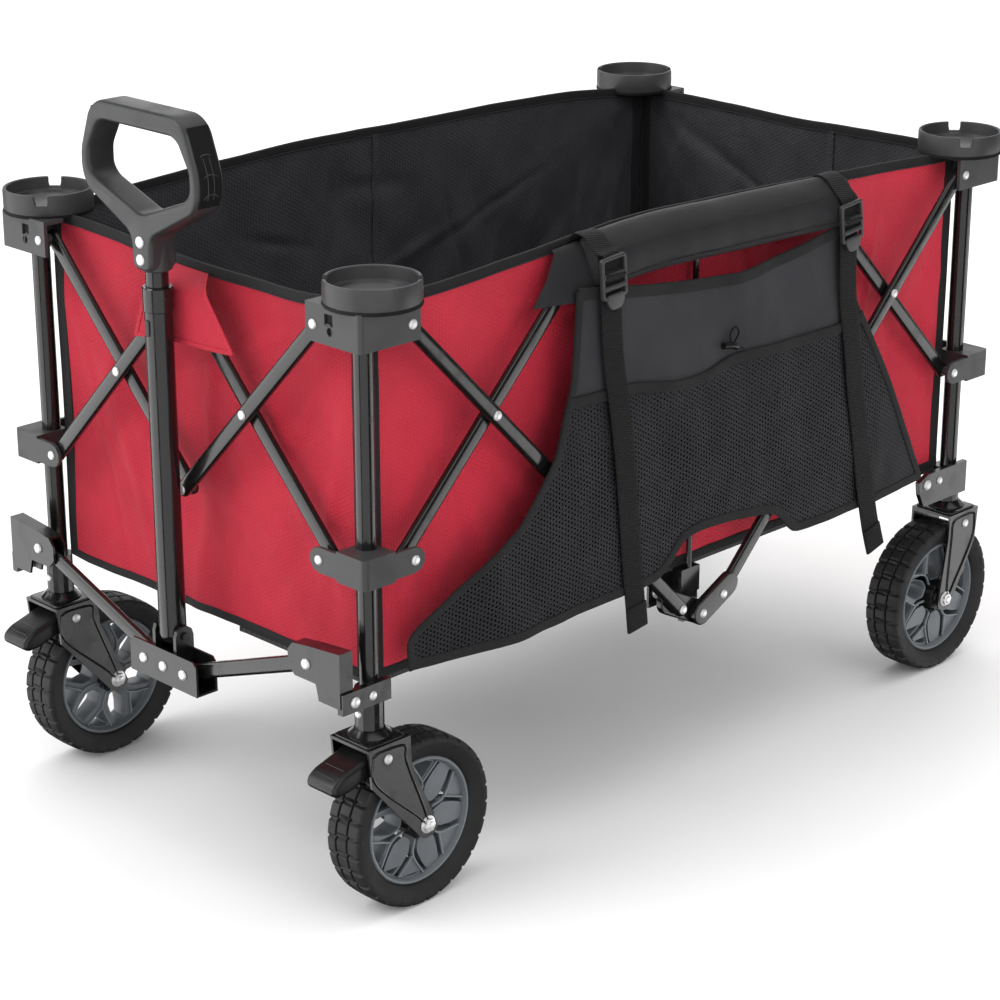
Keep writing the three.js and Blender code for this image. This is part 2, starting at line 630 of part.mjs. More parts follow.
// Side pocket hung from a padded sleeve along the rim, outside the bars
function pocket() {
  const sheet = outline([
    [-170, 566], [-205, 545], [-262, 430], [-330, 330], [-402, 262], [-396, 236],
    [-200, 224], [-84, 224], [-58, 272], [-15, 288], [100, 275], [128, 236],
    [376, 238], [352, 330], [300, 440], [242, 552], [206, 566],
  ]);
  const roll = outline([
    [258, 568], [264, 562], [270, 562], [274, 568], [274, 600], [270, 607], [262, 607], [258, 600],
  ]);
  const sleeve = new THREE.ExtrudeGeometry(roll, { depth: 366, bevelEnabled: false });
  const basis = new THREE.Matrix4();
  basis.makeBasis(new THREE.Vector3(1, 0, 0), new THREE.Vector3(0, 0, 1), new THREE.Vector3(0, -1, 0));
  sleeve.applyMatrix4(basis.setPosition(0, 202, 0));
  return join(plate('x', sheet, 268, 271), sleeve);
}

add('side_pocket', pocket(), BLACK_FABRIC);

const bounds = new THREE.Box3().setFromObject(wagon);
const middle = bounds.getCenter(new THREE.Vector3());
wagon.position.set(-middle.x, -middle.y, -bounds.min.z);

export default wagon;
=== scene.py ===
"""Looks of a folding utility wagon with a pull handle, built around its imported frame."""

import math

import bmesh
import bpy
import numpy as np
from mathutils import Matrix, Vector, noise


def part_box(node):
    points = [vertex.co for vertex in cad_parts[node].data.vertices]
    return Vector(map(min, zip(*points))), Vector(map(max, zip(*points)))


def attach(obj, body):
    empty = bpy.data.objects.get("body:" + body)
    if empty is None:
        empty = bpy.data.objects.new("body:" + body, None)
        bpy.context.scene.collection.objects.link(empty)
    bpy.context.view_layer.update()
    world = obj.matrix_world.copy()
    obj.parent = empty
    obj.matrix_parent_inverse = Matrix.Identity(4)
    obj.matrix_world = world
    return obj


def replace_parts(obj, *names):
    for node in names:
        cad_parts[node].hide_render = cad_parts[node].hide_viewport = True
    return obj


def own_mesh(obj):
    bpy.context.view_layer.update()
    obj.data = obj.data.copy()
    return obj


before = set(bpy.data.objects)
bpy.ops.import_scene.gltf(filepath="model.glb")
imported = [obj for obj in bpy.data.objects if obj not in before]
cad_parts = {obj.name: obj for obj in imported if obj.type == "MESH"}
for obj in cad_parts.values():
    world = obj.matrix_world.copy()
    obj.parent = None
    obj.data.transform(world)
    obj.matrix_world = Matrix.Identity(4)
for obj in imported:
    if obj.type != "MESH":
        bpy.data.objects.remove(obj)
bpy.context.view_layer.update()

MM = 0.001
CORNERS = {"fl": (-1, -1), "fr": (1, -1), "rl": (-1, 1), "rr": (1, 1)}


def middle_of(node):
    low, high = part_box(node)
    return (low + high) / 2


# Measures of the frame, in millimetres about the middle of the four posts
MID_Y = (middle_of("post_fl").y + middle_of("post_rl").y) / 2
HALF_W = (middle_of("post_fr").x - middle_of("post_fl").x) / 2 / MM
HALF_L = (middle_of("post_rl").y - middle_of("post_fl").y) / 2 / MM
POST_LOW, POST_HIGH = (p.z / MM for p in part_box("post_fl"))
POST_R = (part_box("post_fl")[1].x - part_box("post_fl")[0].x) / 2 / MM
AXLE_Z = middle_of("tyre_fl").z / MM
HANDLE_Y = (middle_of("handle_slider").y - MID_Y) / MM
FLOOR_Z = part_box("floor_mat")[1].z / MM

# Bars of the scissor panels: layers are counted outwards from the line of the posts
BAR_ANGLE = math.radians(44.5)
BAR_WIDTH = 16
BAR_THICK = 8
OUTER_LAYER = 18
INNER_LAYER = 9
PIVOT_IN = 36
PIVOT_OUT = 27
TOP_PIVOT_Z = 586
CROSS_DIST = 158
CROSS_IN = CROSS_DIST * math.sin(BAR_ANGLE)
CROSS_Z = TOP_PIVOT_Z - CROSS_DIST * math.cos(BAR_ANGLE)
MID_PIVOT_Z = TOP_PIVOT_Z - 2 * CROSS_DIST * math.cos(BAR_ANGLE)
ACROSS = HALF_W - PIVOT_IN
DOWN = HALF_L - PIVOT_IN
END_LOW_Z = TOP_PIVOT_Z - ACROSS / math.tan(BAR_ANGLE)
END_HIGH_Z = MID_PIVOT_Z + ACROSS / math.tan(BAR_ANGLE)
SIDE_HUB_Z = 188
SIDE_STOP_IN = 31.6
SIDE_STOP_Z = TOP_PIVOT_Z - (DOWN - SIDE_STOP_IN) / math.tan(BAR_ANGLE)
SHORT_TOP_IN = 190
SHORT_TOP_Z = MID_PIVOT_Z + (DOWN - SHORT_TOP_IN) / math.tan(BAR_ANGLE)
LINK_LAYER = 39.5
LINK_THICK = 9
LINK_TOP_IN, LINK_TOP_Z = 33, 264
YOKE_PIVOT, YOKE_Z = 31, 199
RIVET_R = 4.9
RIVET_RISE = 2.1


def row(x, y, z):
    """A point in millimetres about the middle of the posts, as metres in the row frame."""
    return Vector((x * MM, y * MM + MID_Y, z * MM))


def place_of(node):
    """Middle of a node, in millimetres about the middle of the posts."""
    middle = middle_of(node)
    return middle.x / MM, (middle.y - MID_Y) / MM, middle.z / MM


def add_object(name, data):
    made = bpy.data.objects.new(name, data)
    bpy.context.scene.collection.objects.link(made)
    return made


# ---------------------------------------------------------------- camera, light and floor

CARD_DISTANCE = 4.0
FLOOR_HALF = 14


def make_camera():
    data = bpy.data.cameras.new("camera")
    data.lens = 98.54
    data.sensor_width = 36
    data.shift_x = -0.0071
    data.clip_end = 100
    camera = add_object("camera", data)
    camera.location = (1.9943, -1.9956, 1.2705)
    camera.rotation_euler = (math.radians(70.035), 0, math.radians(45.30))
    bpy.context.scene.camera = camera


def soft_sun(name, towards, power, spread):
    """Even light from a wide soft source in a direction."""
    data = bpy.data.lights.new(name, "SUN")
    data.energy = power
    data.angle = math.radians(spread)
    add_object(name, data).rotation_euler = Vector(towards).to_track_quat("Z", "Y").to_euler()


def soft_card(name, azimuth, width, low, high, power):
    """Tall diffuser standing round the set, seen only as a reflection in paint and plastic."""
    angle = math.radians(azimuth)
    middle = Vector((math.cos(angle), math.sin(angle), 0)) * CARD_DISTANCE
    aside = Vector((-math.sin(angle), math.cos(angle), 0)) * width / 2
    spots = ((-1, low), (1, low), (1, high), (-1, high))
    mesh = bpy.data.meshes.new(name)
    mesh.from_pydata([middle + side * aside + Vector((0, 0, z)) for side, z in spots], [], [(0, 1, 2, 3)])
    glow = bpy.data.materials.new(name)
    glow.use_nodes = True
    glow.cycles.emission_sampling = "NONE"
    shader = glow.node_tree.nodes["Principled BSDF"]
    shader.inputs["Base Color"].default_value = (0, 0, 0, 1)
    shader.inputs["Emission Color"].default_value = (1, 1, 1, 1)
    shader.inputs["Emission Strength"].default_value = power
    mesh.materials.append(glow)
    card = add_object(name, mesh)
    card.visible_camera = card.visible_diffuse = card.visible_shadow = card.visible_transmission = False


def make_stage():
    """Even world light, soft suns, cards for the highlights, and a pale floor that nothing mirrors."""
    world = bpy.data.worlds.new("studio")
    world.use_nodes = True
    world.node_tree.nodes["Background"].inputs["Color"].default_value = (1, 1, 1, 1)
    world.node_tree.nodes["Background"].inputs["Strength"].default_value = 0.84
    world.cycles_visibility.glossy = False
    bpy.context.scene.world = world
    bpy.context.scene.view_settings.view_transform = "Standard"
    soft_sun("key", (-0.35, -0.75, 0.75), 1.15, 35)
    soft_sun("side", (0.9, -0.1, 0.6), 0.5, 35)
    soft_sun("top", (-0.1, 0.15, 1), 1.1, 70)
    soft_card("card_front_left", -125, 6.6, -3, 3, 1.9)
    soft_card("card_front_right", -36, 6.6, -3, 3, 0.95)
    soft_card("card_right", 52, 3.4, -2.1, -0.3, 1.7)
    soft_card("card_right_edge", 84, 1.2, -3, 3, 0.7)
    soft_card("card_back_left", 140, 6.0, -1.5, 4, 1.1)
    mesh = bpy.data.meshes.new("studio_floor")
    corners = [(x * FLOOR_HALF, y * FLOOR_HALF, 0) for x, y in ((-1, -1), (1, -1), (1, 1), (-1, 1))]
    mesh.from_pydata(corners, [], [(0, 1, 2, 3)])
    mesh.materials.append(Finish("studio_floor", (0.92, 0.92, 0.92), 0.9).speckle(0.02, 3).made)
    floor = add_object("studio_floor", mesh)
    floor.visible_glossy = False


# ---------------------------------------------------------------- materials

class Finish:
    """A Principled material with a chain of bumps and a chain of tints built up step by step."""

    def __init__(self, name, color, roughness, metallic=0.0, space="Object", **sockets):
        self.made = bpy.data.materials.new(name)
        self.made.use_nodes = True
        self.tree = self.made.node_tree
        self.shader = self.tree.nodes["Principled BSDF"]
        self.shader.inputs["Roughness"].default_value = roughness
        self.shader.inputs["Metallic"].default_value = metallic
        for socket, value in sockets.items():
            self.shader.inputs[socket.replace("_", " ")].default_value = value
        self.rough = roughness
        self.place = self.node("ShaderNodeTexCoord").outputs[space]
        base = self.node("ShaderNodeRGB")
        base.outputs[0].default_value = (*color, 1)
        self.tint = base.outputs[0]
        self.normal = None
        self.link(self.tint, self.shader.inputs["Base Color"])

    def node(self, kind, **settings):
        made = self.tree.nodes.new(kind)
        for key, value in settings.items():
            setattr(made, key, value)
        return made

    def link(self, source, target):
        self.tree.links.new(source, target)

    def math(self, operation, *values):
        made = self.node("ShaderNodeMath", operation=operation)
        for socket, value in zip(made.inputs, values):
            self.link(value, socket)
        return made.outputs[0]

    def ramp(self, value, low, high, to_low=0.0, to_high=1.0):
        made = self.node("ShaderNodeMapRange", interpolation_type="SMOOTHSTEP")
        self.link(value, made.inputs["Value"])
        for key, number in (("From Min", low), ("From Max", high), ("To Min", to_low), ("To Max", to_high)):
            made.inputs[key].default_value = number
        return made.outputs["Result"]

    def noise(self, scale, detail=2.0, stretch=(1, 1, 1)):
        scaled = self.node("ShaderNodeMapping")
        scaled.inputs["Scale"].default_value = stretch
        self.link(self.place, scaled.inputs["Vector"])
        made = self.node("ShaderNodeTexNoise")
        made.inputs["Scale"].default_value = scale
        made.inputs["Detail"].default_value = detail
        self.link(scaled.outputs[0], made.inputs["Vector"])
        return made.outputs["Fac"]

    def wave(self, direction, pitch):
        """Cosine of the place along a direction, once per pitch in metres."""
        dot = self.node("ShaderNodeVectorMath", operation="DOT_PRODUCT")
        self.link(self.place, dot.inputs[0])
        dot.inputs[1].default_value = Vector(direction).normalized() * (2 * math.pi / pitch)
        return self.math("COSINE", dot.outputs["Value"])

    def threads(self, pitch):
        """Warp and weft at one pitch."""
        return self.math("ADD", self.wave((1, 0, 0), pitch), self.wave((0, 1, 0), pitch))

    def honeycomb(self, pitch):
        """From -1.5 on the lines between cells to 3 at each cell's middle."""
        waves = [self.wave((math.cos(a), math.sin(a), 0), pitch * 0.866) for a in np.radians((0, 60, 120))]
        return self.math("ADD", self.math("ADD", waves[0], waves[1]), waves[2])

    def shade(self, amount, dark):
        """Multiplies the tint down to dark where amount is 1."""
        mix = self.node("ShaderNodeVectorMath", operation="SCALE")
        self.link(self.tint, mix.inputs[0])
        self.link(self.ramp(amount, 0, 1, 1, dark), mix.inputs["Scale"])
        self.tint = mix.outputs[0]
        self.link(self.tint, self.shader.inputs["Base Color"])
        return self

    def bump(self, height, distance, strength=1.0):
        made = self.node("ShaderNodeBump")
        made.inputs["Distance"].default_value = distance
        made.inputs["Strength"].default_value = strength
        self.link(height, made.inputs["Height"])
        if self.normal is not None:
            self.link(self.normal, made.inputs["Normal"])
        self.normal = made.outputs["Normal"]
        self.link(self.normal, self.shader.inputs["Normal"])
        return self

    def speckle(self, amount, scale):
        return self.shade(self.ramp(self.noise(scale, 4), 0.35, 0.65), 1 - amount)

    def scuff(self, amount, scale):
        spots = self.ramp(self.noise(scale, 5), 0.45, 0.7, self.rough, min(1, self.rough + amount))
        self.link(spots, self.shader.inputs["Roughness"])
        return self


def textile(name, color, roughness, **sockets):
    """Start of a woven finish, laid out on the cloth's own measure."""
    return Finish(name, color, roughness, space="UV", Specular_IOR_Level=0.3, **sockets)


def hex_fabric(name, color, cell_dark, roughness=0.75):
    """Woven polyester with a fine hexagon ripstop."""
    finish = textile(name, color, roughness, Sheen_Weight=0.04, Sheen_Roughness=0.5)
    cells = finish.honeycomb(0.0044)
    finish.shade(finish.ramp(cells, -0.2, -1.3), cell_dark)
    finish.shade(finish.ramp(finish.noise(9, 3), 0.35, 0.7), 0.86)
    finish.bump(finish.ramp(cells, -1.4, 0.6), 0.0005, 0.6)
    finish.bump(finish.threads(0.0011), 0.00012, 0.5)
    finish.bump(finish.noise(14, 3, (1, 1.6, 1)), 0.004, 0.35)
    return finish.bump(finish.noise(48, 4), 0.0016, 0.35).made


def plain_cloth(name, color, roughness=0.8):
    finish = textile(name, color, roughness, Sheen_Weight=0.05, Sheen_Roughness=0.5)
    threads = finish.threads(0.0012)
    finish.shade(finish.ramp(threads, 0.5, -1.5), 0.75)
    finish.bump(threads, 0.00015, 0.6)
    return finish.bump(finish.noise(20, 3), 0.003, 0.35).speckle(0.15, 12).made


def open_mesh(name, color):
    """Warp-knit net: holes in a hexagon grid that light passes through."""
    finish = textile(name, color, 0.6)
    cells = finish.honeycomb(0.0049)
    finish.link(finish.ramp(cells, 1.4, 0.7), finish.shader.inputs["Alpha"])
    finish.shade(finish.noise(25, 3), 0.5)
    return finish.bump(cells, 0.0004, -0.6).made


def webbing_weave(name, color):
    """Ribbed strap: slanted ridges across the strap over fine lines along it."""
    finish = textile(name, color, 0.65, Sheen_Weight=0.05)
    ribs = finish.wave((1, 0.35, 0), 0.0022)
    finish.shade(finish.ramp(ribs, 0.2, -1), 0.55)
    finish.bump(ribs, 0.0004, 0.8)
    return finish.bump(finish.wave((0, 1, 0), 0.0019), 0.00015, 0.5).speckle(0.2, 30).made


def painted(name, color, roughness, metallic=0.0):
    finish = Finish(name, color, roughness, metallic, Coat_Weight=0.35, Coat_Roughness=0.12)
    return finish.bump(finish.noise(420, 3), 0.00003, 0.5).scuff(0.15, 45).speckle(0.15, 20).made


def moulded(name, color, roughness, grain=0.00012):
    finish = Finish(name, color, roughness)
    return finish.bump(finish.noise(900, 2), grain, 0.5).scuff(0.12, 35).speckle(0.12, 16).made


def make_materials():
    return {
        "red": hex_fabric("red_ripstop", (0.550, 0.020, 0.045), 0.88),
        "lining": hex_fabric("black_ripstop", (0.0440, 0.0435, 0.0500), 0.60, 0.48),
        "cloth": plain_cloth("pocket_cloth", (0.0340, 0.0325, 0.0385)),
        "sleeve": plain_cloth("sleeve_cloth", (0.0150, 0.0150, 0.0172), 0.44),
        "binding": plain_cloth("binding_tape", (0.0120, 0.0120, 0.0125), 0.75),
        # the pocket's back cloth, real, but darkened well below the pocket cloth as painted shade inside the
        # pocket
        "backing": plain_cloth("pocket_backing_painted_shade", (0.0030, 0.0030, 0.0040), 0.90),
        "mesh": open_mesh("pocket_net", (0.0200, 0.0195, 0.0240)),
        "webbing": webbing_weave("black_webbing", (0.0070, 0.0068, 0.0066)),
        "post": painted("post_paint", (0.0070, 0.0070, 0.0068), 0.17),
        "bar": painted("bar_paint", (0.0075, 0.0075, 0.0072), 0.20),
        "bracket": painted("bracket_paint", (0.0070, 0.0070, 0.0070), 0.24),
        # lighter copy of the cap plastic for the cup's upward floor: painted top light
        "cup": moulded("cup_floor_painted_light", (0.0900, 0.0900, 0.0920), 0.45),
        "cap": moulded("cap_plastic", (0.0410, 0.0415, 0.0435), 0.40),
        "grip": moulded("grip_plastic", (0.0340, 0.0345, 0.0360), 0.36),
        "black": moulded("black_plastic", (0.0060, 0.0060, 0.0062), 0.36),
        # near-black stand-in for the shade inside gaps, openings and hollows: painted shade, not a part of
        # its own
        "dark": moulded("painted_recess_shade", (0.0020, 0.0020, 0.0020), 0.85),
        "rim": moulded("wheel_plastic", (0.125, 0.138, 0.150), 0.38),
        # lighter copy of the wheel plastic for its raised ridges: painted highlight
        "rim_ridge_highlight": moulded("wheel_ridge_highlight", (0.170, 0.190, 0.205), 0.35),
        "rubber": moulded("tyre_rubber", (0.0105, 0.0104, 0.0108), 0.60, 0.0003),
        "silver": painted("zinc_plate", (0.86, 0.86, 0.87), 0.30, 0.55),
    }


# ---------------------------------------------------------------- mesh making

def place_mesh(name, mesh, materials, body, crease=38):
    """Adds a piece by its finishes' keys, smooth but for its sharp edges, and lets it ride on a body."""
    mesh.name = name
    made = add_object(name, mesh)
    for key in materials.split():
        mesh.materials.append(M[key])
    mesh.shade_smooth()
    mesh.set_sharp_from_angle(angle=math.radians(crease))
    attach(made, body)
    return made


def clean_mesh(mesh):
    """Joins doubled points and turns every face outwards."""
    shell = bmesh.new()
    shell.from_mesh(mesh)
    bmesh.ops.remove_doubles(shell, verts=shell.verts, dist=1e-6)
    bmesh.ops.recalc_face_normals(shell, faces=shell.faces)
    shell.to_mesh(mesh)
    shell.free()
    return mesh


def mesh_from(points, faces, uv=None, face_materials=None):
    """Closed mesh from millimetre points; uv gives each point its place on the cloth in metres."""
    mesh = bpy.data.meshes.new("piece")
    mesh.from_pydata([row(*p) for p in points], [], faces)
    if uv is not None:
        layer = mesh.uv_layers.new(name="cloth")
        index = np.empty(len(mesh.loops), np.int32)
        mesh.loops.foreach_get("vertex_index", index)
        layer.data.foreach_set("uv", np.asarray(uv, np.float32)[index].ravel())
    if face_materials is not None:
        mesh.polygons.foreach_set("material_index", np.asarray(face_materials, np.int32))
    return clean_mesh(mesh)


def cloth_mesh(surface, counts, thickness=1.4, size=None):
    """Thin closed sheet over surface(u, v), its weave laid out over its size or, with none, as seen along X.

    The outer face takes the first finish and the inner face the second.
    """
    across, up = counts
    us, vs = np.linspace(0, 1, across + 1), np.linspace(0, 1, up + 1)
    outer = np.array([[surface(u, v) for v in vs] for u in us], float)
    normal = np.cross(np.gradient(outer, axis=0), np.gradient(outer, axis=1))
    normal /= np.linalg.norm(normal, axis=2, keepdims=True)
    points = np.concatenate([outer.reshape(-1, 3), (outer - normal * thickness).reshape(-1, 3)])
    if size:
        flat = np.array([(u * size[0] * MM, v * size[1] * MM) for u in us for v in vs])
    else:
        flat = outer.reshape(-1, 3)[:, 1:] * MM
    rows, shift = up + 1, (across + 1) * (up + 1)
    faces = []
    for i in range(across):
        for j in range(up):
            a, b, c, d = i * rows + j, (i + 1) * rows + j, (i + 1) * rows + j + 1, i * rows + j + 1
            faces += [(a, b, c, d), (a + shift, d + shift, c + shift, b + shift)]
    rim = [i * rows for i in range(across + 1)] + [across * rows + j for j in range(1, rows)]
    rim += [i * rows + up for i in range(across - 1, -1, -1)] + list(range(up - 1, 0, -1))
    which = [0, 1] * (across * up) + [0] * len(rim)
    faces += [(a, a + shift, b + shift, b) for a, b in zip(rim, rim[1:] + rim[:1])]
    return mesh_from(points, faces, np.concatenate([flat, flat]), which)


def loft_mesh(rings, closed=False):
    """Skin over rings of equal count; open lofts get flat ends."""
    rings = np.asarray(rings, float)
    count, around = rings.shape[:2]
    faces = []
    for i in range(count if closed else count - 1):
        for j in range(around):
            k, n = (j + 1) % around, (i + 1) % count
            faces.append((i * around + j, i * around + k, n * around + k, n * around + j))
    if not closed:
        faces.append(tuple(range(around - 1, -1, -1)))
        faces.append(tuple((count - 1) * around + j for j in range(around)))
    steps = np.linalg.norm(np.diff(rings.mean(axis=1), axis=0), axis=1)
    along = np.concatenate([[0], np.cumsum(steps)])
    girth = np.concatenate([[0], np.cumsum(np.linalg.norm(np.diff(rings[0], axis=0), axis=1))])
    uv = [(along[i] * MM, girth[j] * MM) for i in range(count) for j in range(around)]
    return mesh_from(rings.reshape(-1, 3), faces, uv)


def section(width, thick, count=14, square=0.45):
    """Rounded flat section of a tape or strap, as pairs (across, through)."""
    angles = np.linspace(0, 2 * math.pi, count, endpoint=False) + math.pi / count

    def ease(value):
        return np.sign(value) * abs(value) ** square

    return [(width / 2 * ease(c), thick / 2 * ease(s)) for c, s in zip(np.cos(angles), np.sin(angles))]


def circle(radius, count=10):
    angles = np.linspace(0, 2 * math.pi, count, endpoint=False)
    return [(radius * math.cos(a), radius * math.sin(a)) for a in angles]


def sweep_mesh(path, across, profile):
    """Profile carried along a path; across is the direction of the profile's width."""
    path = np.asarray(path, float)
    across = np.broadcast_to(np.asarray(across, float), path.shape)
    tangent = np.gradient(path, axis=0)
    tangent /= np.linalg.norm(tangent, axis=1, keepdims=True)
    wide = across - tangent * np.sum(across * tangent, axis=1, keepdims=True)
    wide /= np.linalg.norm(wide, axis=1, keepdims=True)
    through = np.cross(tangent, wide)
    return loft_mesh([[p + a * w + b * t for a, b in profile] for p, w, t in zip(path, wide, through)])


def ribbon_mesh(path, out, width, thick):
    """Flat tape along a path, lying square to the direction out."""
    path = np.asarray(path, float)
    return sweep_mesh(path, np.cross(np.gradient(path, axis=0), out), section(width, thick))


def smooth_path(points, count):
    """Evenly spread points on a smooth curve through the given ones."""
    points = np.asarray(points, float)
    padded = np.vstack([2 * points[0] - points[1], points, 2 * points[-1] - points[-2]])
    fine = []
    for i in range(len(points) - 1):
        p0, p1, p2, p3 = padded[i:i + 4]
        for t in np.linspace(0, 1, 24, endpoint=False):
            fine.append(0.5 * (2 * p1 + (p2 - p0) * t + (2 * p0 - 5 * p1 + 4 * p2 - p3) * t ** 2
                               + (3 * p1 - p0 - 3 * p2 + p3) * t ** 3))
    fine = np.array(fine + [points[-1]])
    run = np.concatenate([[0], np.cumsum(np.linalg.norm(np.diff(fine, axis=0), axis=1))])
    want = np.linspace(0, run[-1], count)
    return np.stack([np.interp(want, run, fine[:, k]) for k in range(3)], axis=1)


def ring_mesh(rings, ends=()):
    """Skin over profiles that stand all round an axis."""
    steps, count = len(rings), len(rings[0])
    faces = []
    for i in range(steps):
        here, after = i * count, (i + 1) % steps * count
        faces += [(here + j, after + j, after + j + 1, here + j + 1) for j in range(count - 1)]
    return mesh_from(np.array(rings).reshape(-1, 3), faces + list(ends))


def turn_mesh(profile, axis, centre, steps=48):
    """Profile of (radius, height) turned about X or Z through a point."""
    x, y, z = centre
    rings = []
    for angle in np.linspace(0, 2 * math.pi, steps, endpoint=False):
        c, s = math.cos(angle), math.sin(angle)
        if axis == "x":
            rings.append([(x + h, y + r * c, z + r * s) for r, h in profile])
        else:
            rings.append([(x + r * c, y + r * s, z + h) for r, h in profile])
    return ring_mesh(rings)


def rounded(points, radius, steps=4):
    """Polygon with each corner eased over radius."""
    eased = []
    for i, point in enumerate(points):
        here = Vector(point)
        before, after = Vector(points[i - 1]) - here, Vector(points[(i + 1) % len(points)]) - here
        cut = min(radius, 0.45 * before.length, 0.45 * after.length)
        start, end = here + before.normalized() * cut, here + after.normalized() * cut
        for t in np.linspace(0, 1, steps + 1):
            eased.append(tuple(start * (1 - t) ** 2 + here * 2 * t * (1 - t) + end * t ** 2))
    return eased


def rectangle(left, right, low, high):
    return [(left, high), (right, high), (right, low), (left, low)]


SLAB_AXES = {
    "x": Matrix(((0, 0, 1), (1, 0, 0), (0, 1, 0))),
    "y": Matrix(((1, 0, 0), (0, 0, -1), (0, 1, 0))),
    "z": Matrix(((1, 0, 0), (0, 1, 0), (0, 0, 1))),
}


def slab_mesh(shape, holes, facing, low, high, bevel):
    """Flat outline with holes made into a plate from low to high along the axis it faces, edges rounded."""
    curve = bpy.data.curves.new("outline", "CURVE")
    curve.dimensions = "2D"
    curve.fill_mode = "BOTH"
    curve.extrude = ((high - low) / 2 - bevel) * MM
    curve.bevel_depth = bevel * MM
    curve.bevel_resolution = 3
    curve.offset = -bevel * MM
    for ring in [shape, *holes]:
        spline = curve.splines.new("POLY")
        spline.points.add(len(ring) - 1)
        for point, (a, b) in zip(spline.points, ring):
            point.co = (a * MM, b * MM, 0, 1)
        spline.use_cyclic_u = True
    holder = add_object("outline", curve)
    bpy.context.view_layer.update()
    mesh = bpy.data.meshes.new_from_object(holder.evaluated_get(bpy.context.evaluated_depsgraph_get()))
    bpy.data.objects.remove(holder)
    mesh.materials.clear()
    mesh.transform(SLAB_AXES[facing].to_4x4())
    mesh.transform(Matrix.Translation(row(*((low + high) / 2 * (axis == facing) for axis in "xyz"))))
    return clean_mesh(mesh)


def merge(meshes):
    shell = bmesh.new()
    for mesh in meshes:
        shell.from_mesh(mesh)
        bpy.data.meshes.remove(mesh)
    whole = bpy.data.meshes.new("piece")
    shell.to_mesh(whole)
    shell.free()
    return whole


def dome_mesh(point, direction, radius=RIVET_R, height=RIVET_RISE):
    """Domed rivet head standing on a surface, its foot a little below it."""
    profile = [(0, -0.8), (radius, -0.8), (radius, height * 0.35), (radius * 0.9, height * 0.7),
               (radius * 0.6, height * 0.95), (radius * 0.25, height), (0, height)]
    mesh = turn_mesh(profile, "z", (0, 0, 0), 20)
    mesh.transform(Matrix.Translation((0, -MID_Y, 0)))
    mesh.transform(Vector((0, 0, 1)).rotation_difference(Vector(direction)).to_matrix().to_4x4())
    mesh.transform(Matrix.Translation(row(*point)))
    return mesh


def hex_bolt_mesh(point, side, radius, height):
    """Hexagon head with a small dome and a washer, facing along X."""
    x, y, z = point
    ring = [(y + radius * math.cos(a), z + radius * math.sin(a)) for a in np.radians(range(0, 360, 60))]
    head = slab_mesh(rounded(ring, 0.8, 2), [], "x", *sorted((x, x + side * height)), 0.5)
    dome = dome_mesh((x + side * height, y, z), (side, 0, 0), radius * 0.6, 1.2)
    washer = dome_mesh((x, y, z), (side, 0, 0), radius * 1.25, 0.9)
    return merge([head, dome, washer])


def flatten(piece, way):
    """Gives a soft piece a mesh of its own, whichever way is given."""
    if way == "across":
        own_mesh(piece)
    elif way == "pocket":
        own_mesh(piece)
    else:
        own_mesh(piece)
    return piece


# ---------------------------------------------------------------- fabric walls and floor

WALL_LOW = 238
FOLDS_PER_METRE = 26
FLOOR_LONG = 874
FLAP_LEAN = 28.8
FLOOR_BOARDS = (("left", "frame_fl", -234, -49, 0), ("middle", "handle_yoke", -48, 42, 0),
                ("right", "frame_fr", 43, 234, -6))


def curve_through(pairs, ease=0.035):
    """Function whose graph runs close to the given pairs with its corners eased."""
    xs, ys = zip(*pairs)
    span = xs[-1] - xs[0]
    fine = np.linspace(xs[0] - span * 0.2, xs[-1] + span * 0.2, 701)
    window = np.exp(-0.5 * (np.linspace(-3, 3, 6 * int(701 / 1.4 * ease) // 2 * 2 + 1)) ** 2)
    heights = np.pad(np.interp(fine, xs, ys), len(window) // 2, mode="edge")
    heights = np.convolve(heights, window / window.sum(), mode="valid")
    return lambda x: float(np.interp(x, fine, heights))


FRONT_RIM = curve_through([
    (-233, 606), (-165, 605), (-117, 602), (-70, 598), (7, 595), (81, 595.5), (152, 596), (233, 604),
])
REAR_RIM = curve_through([
    (-233, 606), (-174, 607), (-48, 605), (12, 603.5), (85, 605), (163, 607), (233, 605),
])
RIGHT_RIM = curve_through([
    (-435, 602), (-360, 603), (-310, 604.5), (-245, 610), (-192, 614), (-137, 619), (-66, 622), (8, 619),
    (84, 617), (163, 615), (246, 611), (331, 607.5), (393, 604), (435, 602),
])
LEFT_RIM = curve_through([
    (-435, 604), (-373, 611), (-283, 617), (-183, 621), (-106, 624), (40, 622), (197, 621), (297, 619),
    (372, 612), (435, 604),
])


def fraction(value):
    return value - math.floor(value)


def tension_folds(half, seed):
    """Long soft folds of a slack wall: half of them point at the nearer top corner, the rest hang down."""
    folds = []
    for k in range(FOLDS_PER_METRE * half // 500):
        s = half * 0.94 * (2 * fraction(k * 0.618 + seed) - 1)
        z = 285 + 290 * fraction(k * 0.414 + seed * 0.7)
        lean = math.radians(90 + 50 * (fraction(k * 0.73) - 0.5))
        if k % 2:
            lean = math.atan2(600 - z, math.copysign(half, s) - s)
        reach = 45 + 75 * fraction(k * 0.31 + seed)
        width = 4.5 + 7 * fraction(k * 0.57 + seed)
        depth = (2.4 + 0.2 * width) * (1 if k % 3 else -1)
        folds.append((s, z, math.cos(lean), math.sin(lean), reach, width, depth))
    return folds


